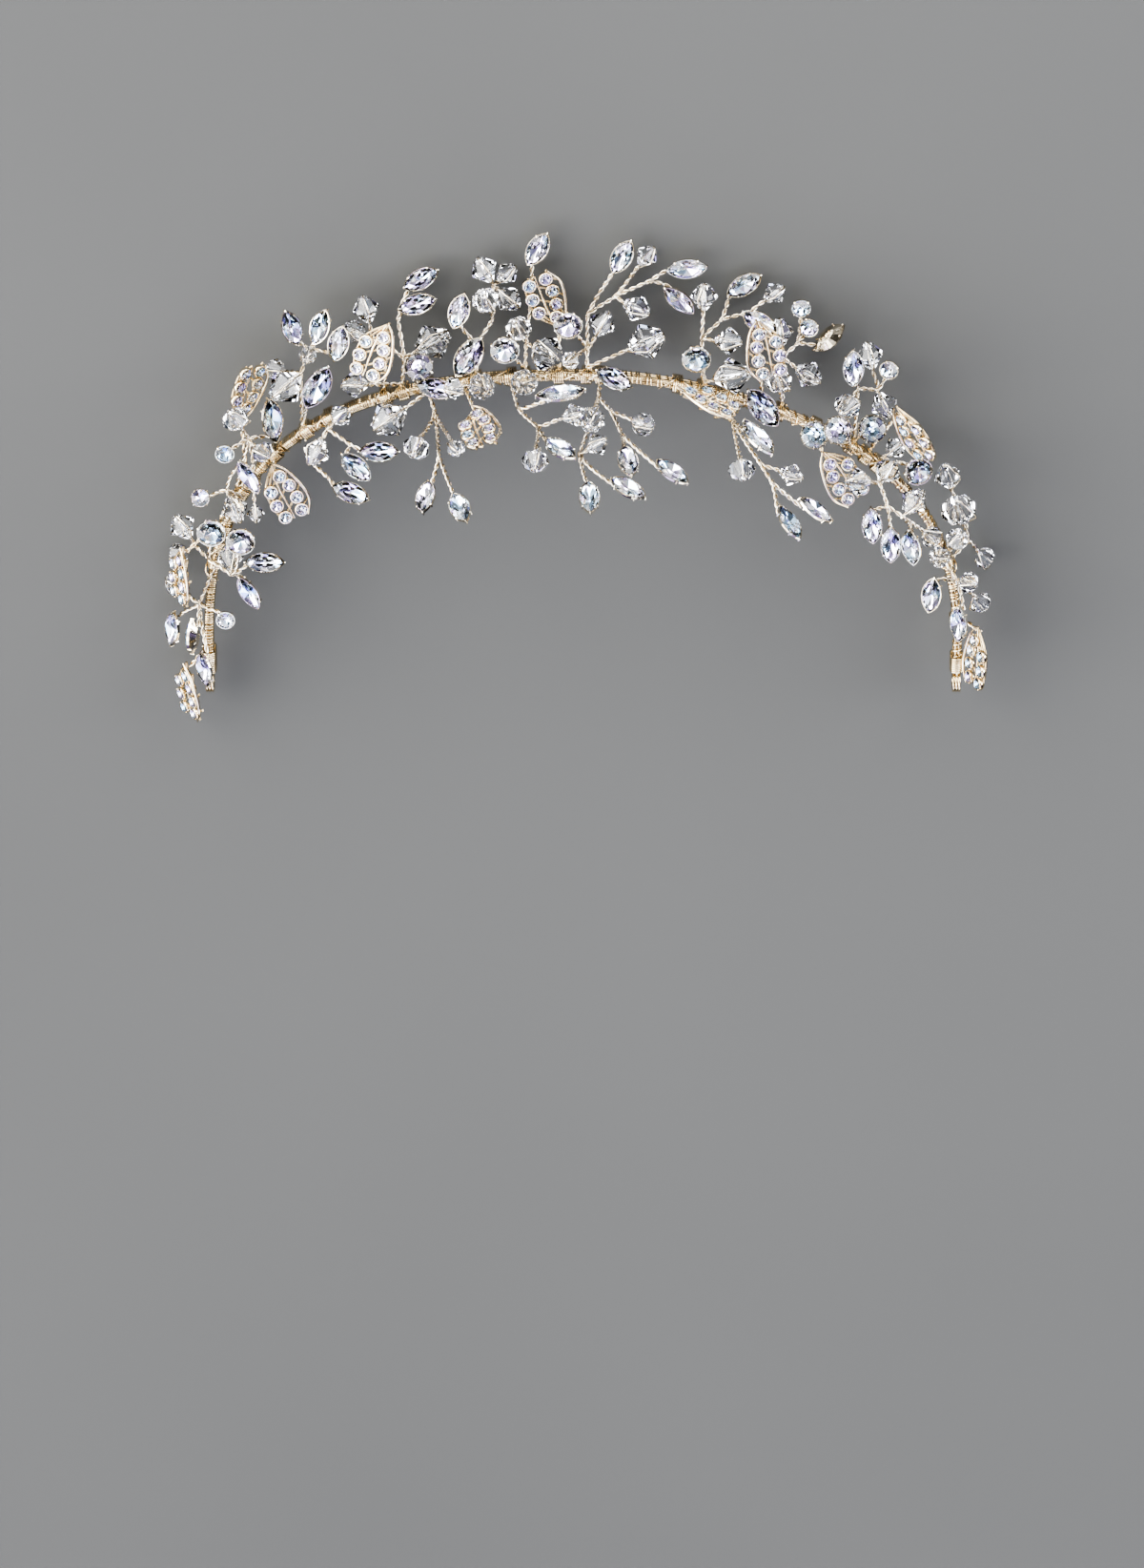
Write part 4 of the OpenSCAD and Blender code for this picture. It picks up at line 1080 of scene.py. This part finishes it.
# %% Floor
floor_bm = bmesh.new()
bmesh.ops.create_grid(floor_bm, x_segments=8, y_segments=8, size=4)
floor_mesh = bpy.data.meshes.new("floor")
floor_bm.to_mesh(floor_mesh)
floor_bm.free()
floor = bpy.data.objects.new("floor", floor_mesh)
bpy.context.scene.collection.objects.link(floor)
FLOOR = [(0, (0.073, 0.073, 0.069)), (1, (0.090, 0.090, 0.085))]
floor_mesh.materials.append(finish("pale_floor", {"Roughness": 0.85}, 5, FLOOR))
print("floor laid")


# %% Lights
lit_place = Vector((0, 0.06, 0.02))


def soft_light(name, place_at, size, power, colour):
    light = bpy.data.lights.new(name, "AREA")
    light.shape, light.size, light.size_y = "RECTANGLE", *size
    light.energy, light.color = power, colour
    lamp = bpy.data.objects.new(name, light)
    lamp.location = place_at
    lamp.rotation_mode = "QUATERNION"
    lamp.rotation_quaternion = (lit_place - Vector(place_at)).to_track_quat("-Z", "Y")
    bpy.context.scene.collection.objects.link(lamp)


soft_light("window", (-0.75, 0.85, 0.75), (0.8, 0.8), 18, (1.0, 0.98, 0.96))
soft_light("left_panel", (-1.05, -0.1, 0.5), (0.9, 0.6), 10, (1.0, 1.0, 1.0))
soft_light("front_panel", (0.25, -1.1, 0.75), (1.1, 0.5), 8, (0.95, 0.97, 1.0))
soft_light("right_panel", (1.0, 0.35, 0.45), (0.5, 0.7), 10, (0.92, 0.95, 1.0))
soft_light("back_panel", (0.4, 1.15, 0.6), (1.0, 0.5), 12, (1.0, 1.0, 1.0))
print("five soft lights")

# %% [markdown]
# The room is a world shader: bright towards the window, lilac and dark away from it, dimmer
# on the camera's side, and broken up by large patches as by furniture. Facets and wires
# show it as their light and dark places.

# %% Room
world = bpy.data.worlds.new("room")
bpy.context.scene.world = world
world.use_nodes = True
nodes, links = world.node_tree.nodes, world.node_tree.links
sky = nodes["Background"]
sky.inputs["Strength"].default_value = 1.0
way_of = nodes.new("ShaderNodeTexCoord")


def facing(direction):
    """How much a way in the room points in this direction, from -1 to 1."""
    dot = nodes.new("ShaderNodeVectorMath")
    dot.operation = "DOT_PRODUCT"
    dot.inputs[1].default_value = direction
    links.new(way_of.outputs["Generated"], dot.inputs[0])
    return dot.outputs["Value"]


ROOM = [
    (0.0, (0.04, 0.04, 0.05)), (0.40, (0.07, 0.08, 0.11)), (0.50, (0.44, 0.36, 0.76)),
    (0.58, (1.05, 0.93, 1.75)), (0.67, (1.6, 1.95, 2.45)), (0.74, (4.0, 4.0, 4.1)),
    (0.90, (5.6, 5.6, 5.6)), (1.0, (1.0, 1.0, 1.0)),
]
half_turn = map_range(nodes, -1, 1, 0, 1)
ramp = colour_ramp(nodes, ROOM)
shade = map_range(nodes, 0.66, 0.86, 1.0, 0.12)
patches = nodes.new("ShaderNodeTexNoise")
patches.inputs["Scale"].default_value, patches.inputs["Detail"].default_value = 2.6, 1
things = map_range(nodes, 0.42, 0.56, 0.18, 1.45)
both = nodes.new("ShaderNodeMath")
both.operation = "MULTIPLY"
dimmed = nodes.new("ShaderNodeVectorMath")
dimmed.operation = "SCALE"
for source, target in (
    (facing(Vector((-0.55, 0.55, 0.63)).normalized()), half_turn.inputs["Value"]),
    (half_turn.outputs["Result"], ramp.inputs["Fac"]),
    (facing(sight), shade.inputs["Value"]),
    (way_of.outputs["Generated"], patches.inputs["Vector"]),
    (patches.outputs["Fac"], things.inputs["Value"]),
    (shade.outputs["Result"], both.inputs[0]),
    (things.outputs["Result"], both.inputs[1]),
    (ramp.outputs["Color"], dimmed.inputs[0]),
    (both.outputs["Value"], dimmed.inputs["Scale"]),
    (dimmed.outputs["Vector"], sky.inputs["Color"]),
):
    links.new(source, target)
bpy.context.scene.view_settings.view_transform = "AgX"
bpy.context.scene.view_settings.look = "AgX - High Contrast"
print("the room has", len(ROOM), "steps of light")

# %% [markdown]
# Last comes a comparison of the finished object with the box of the solids.

# %% Update the view layer
bpy.context.view_layer.update()
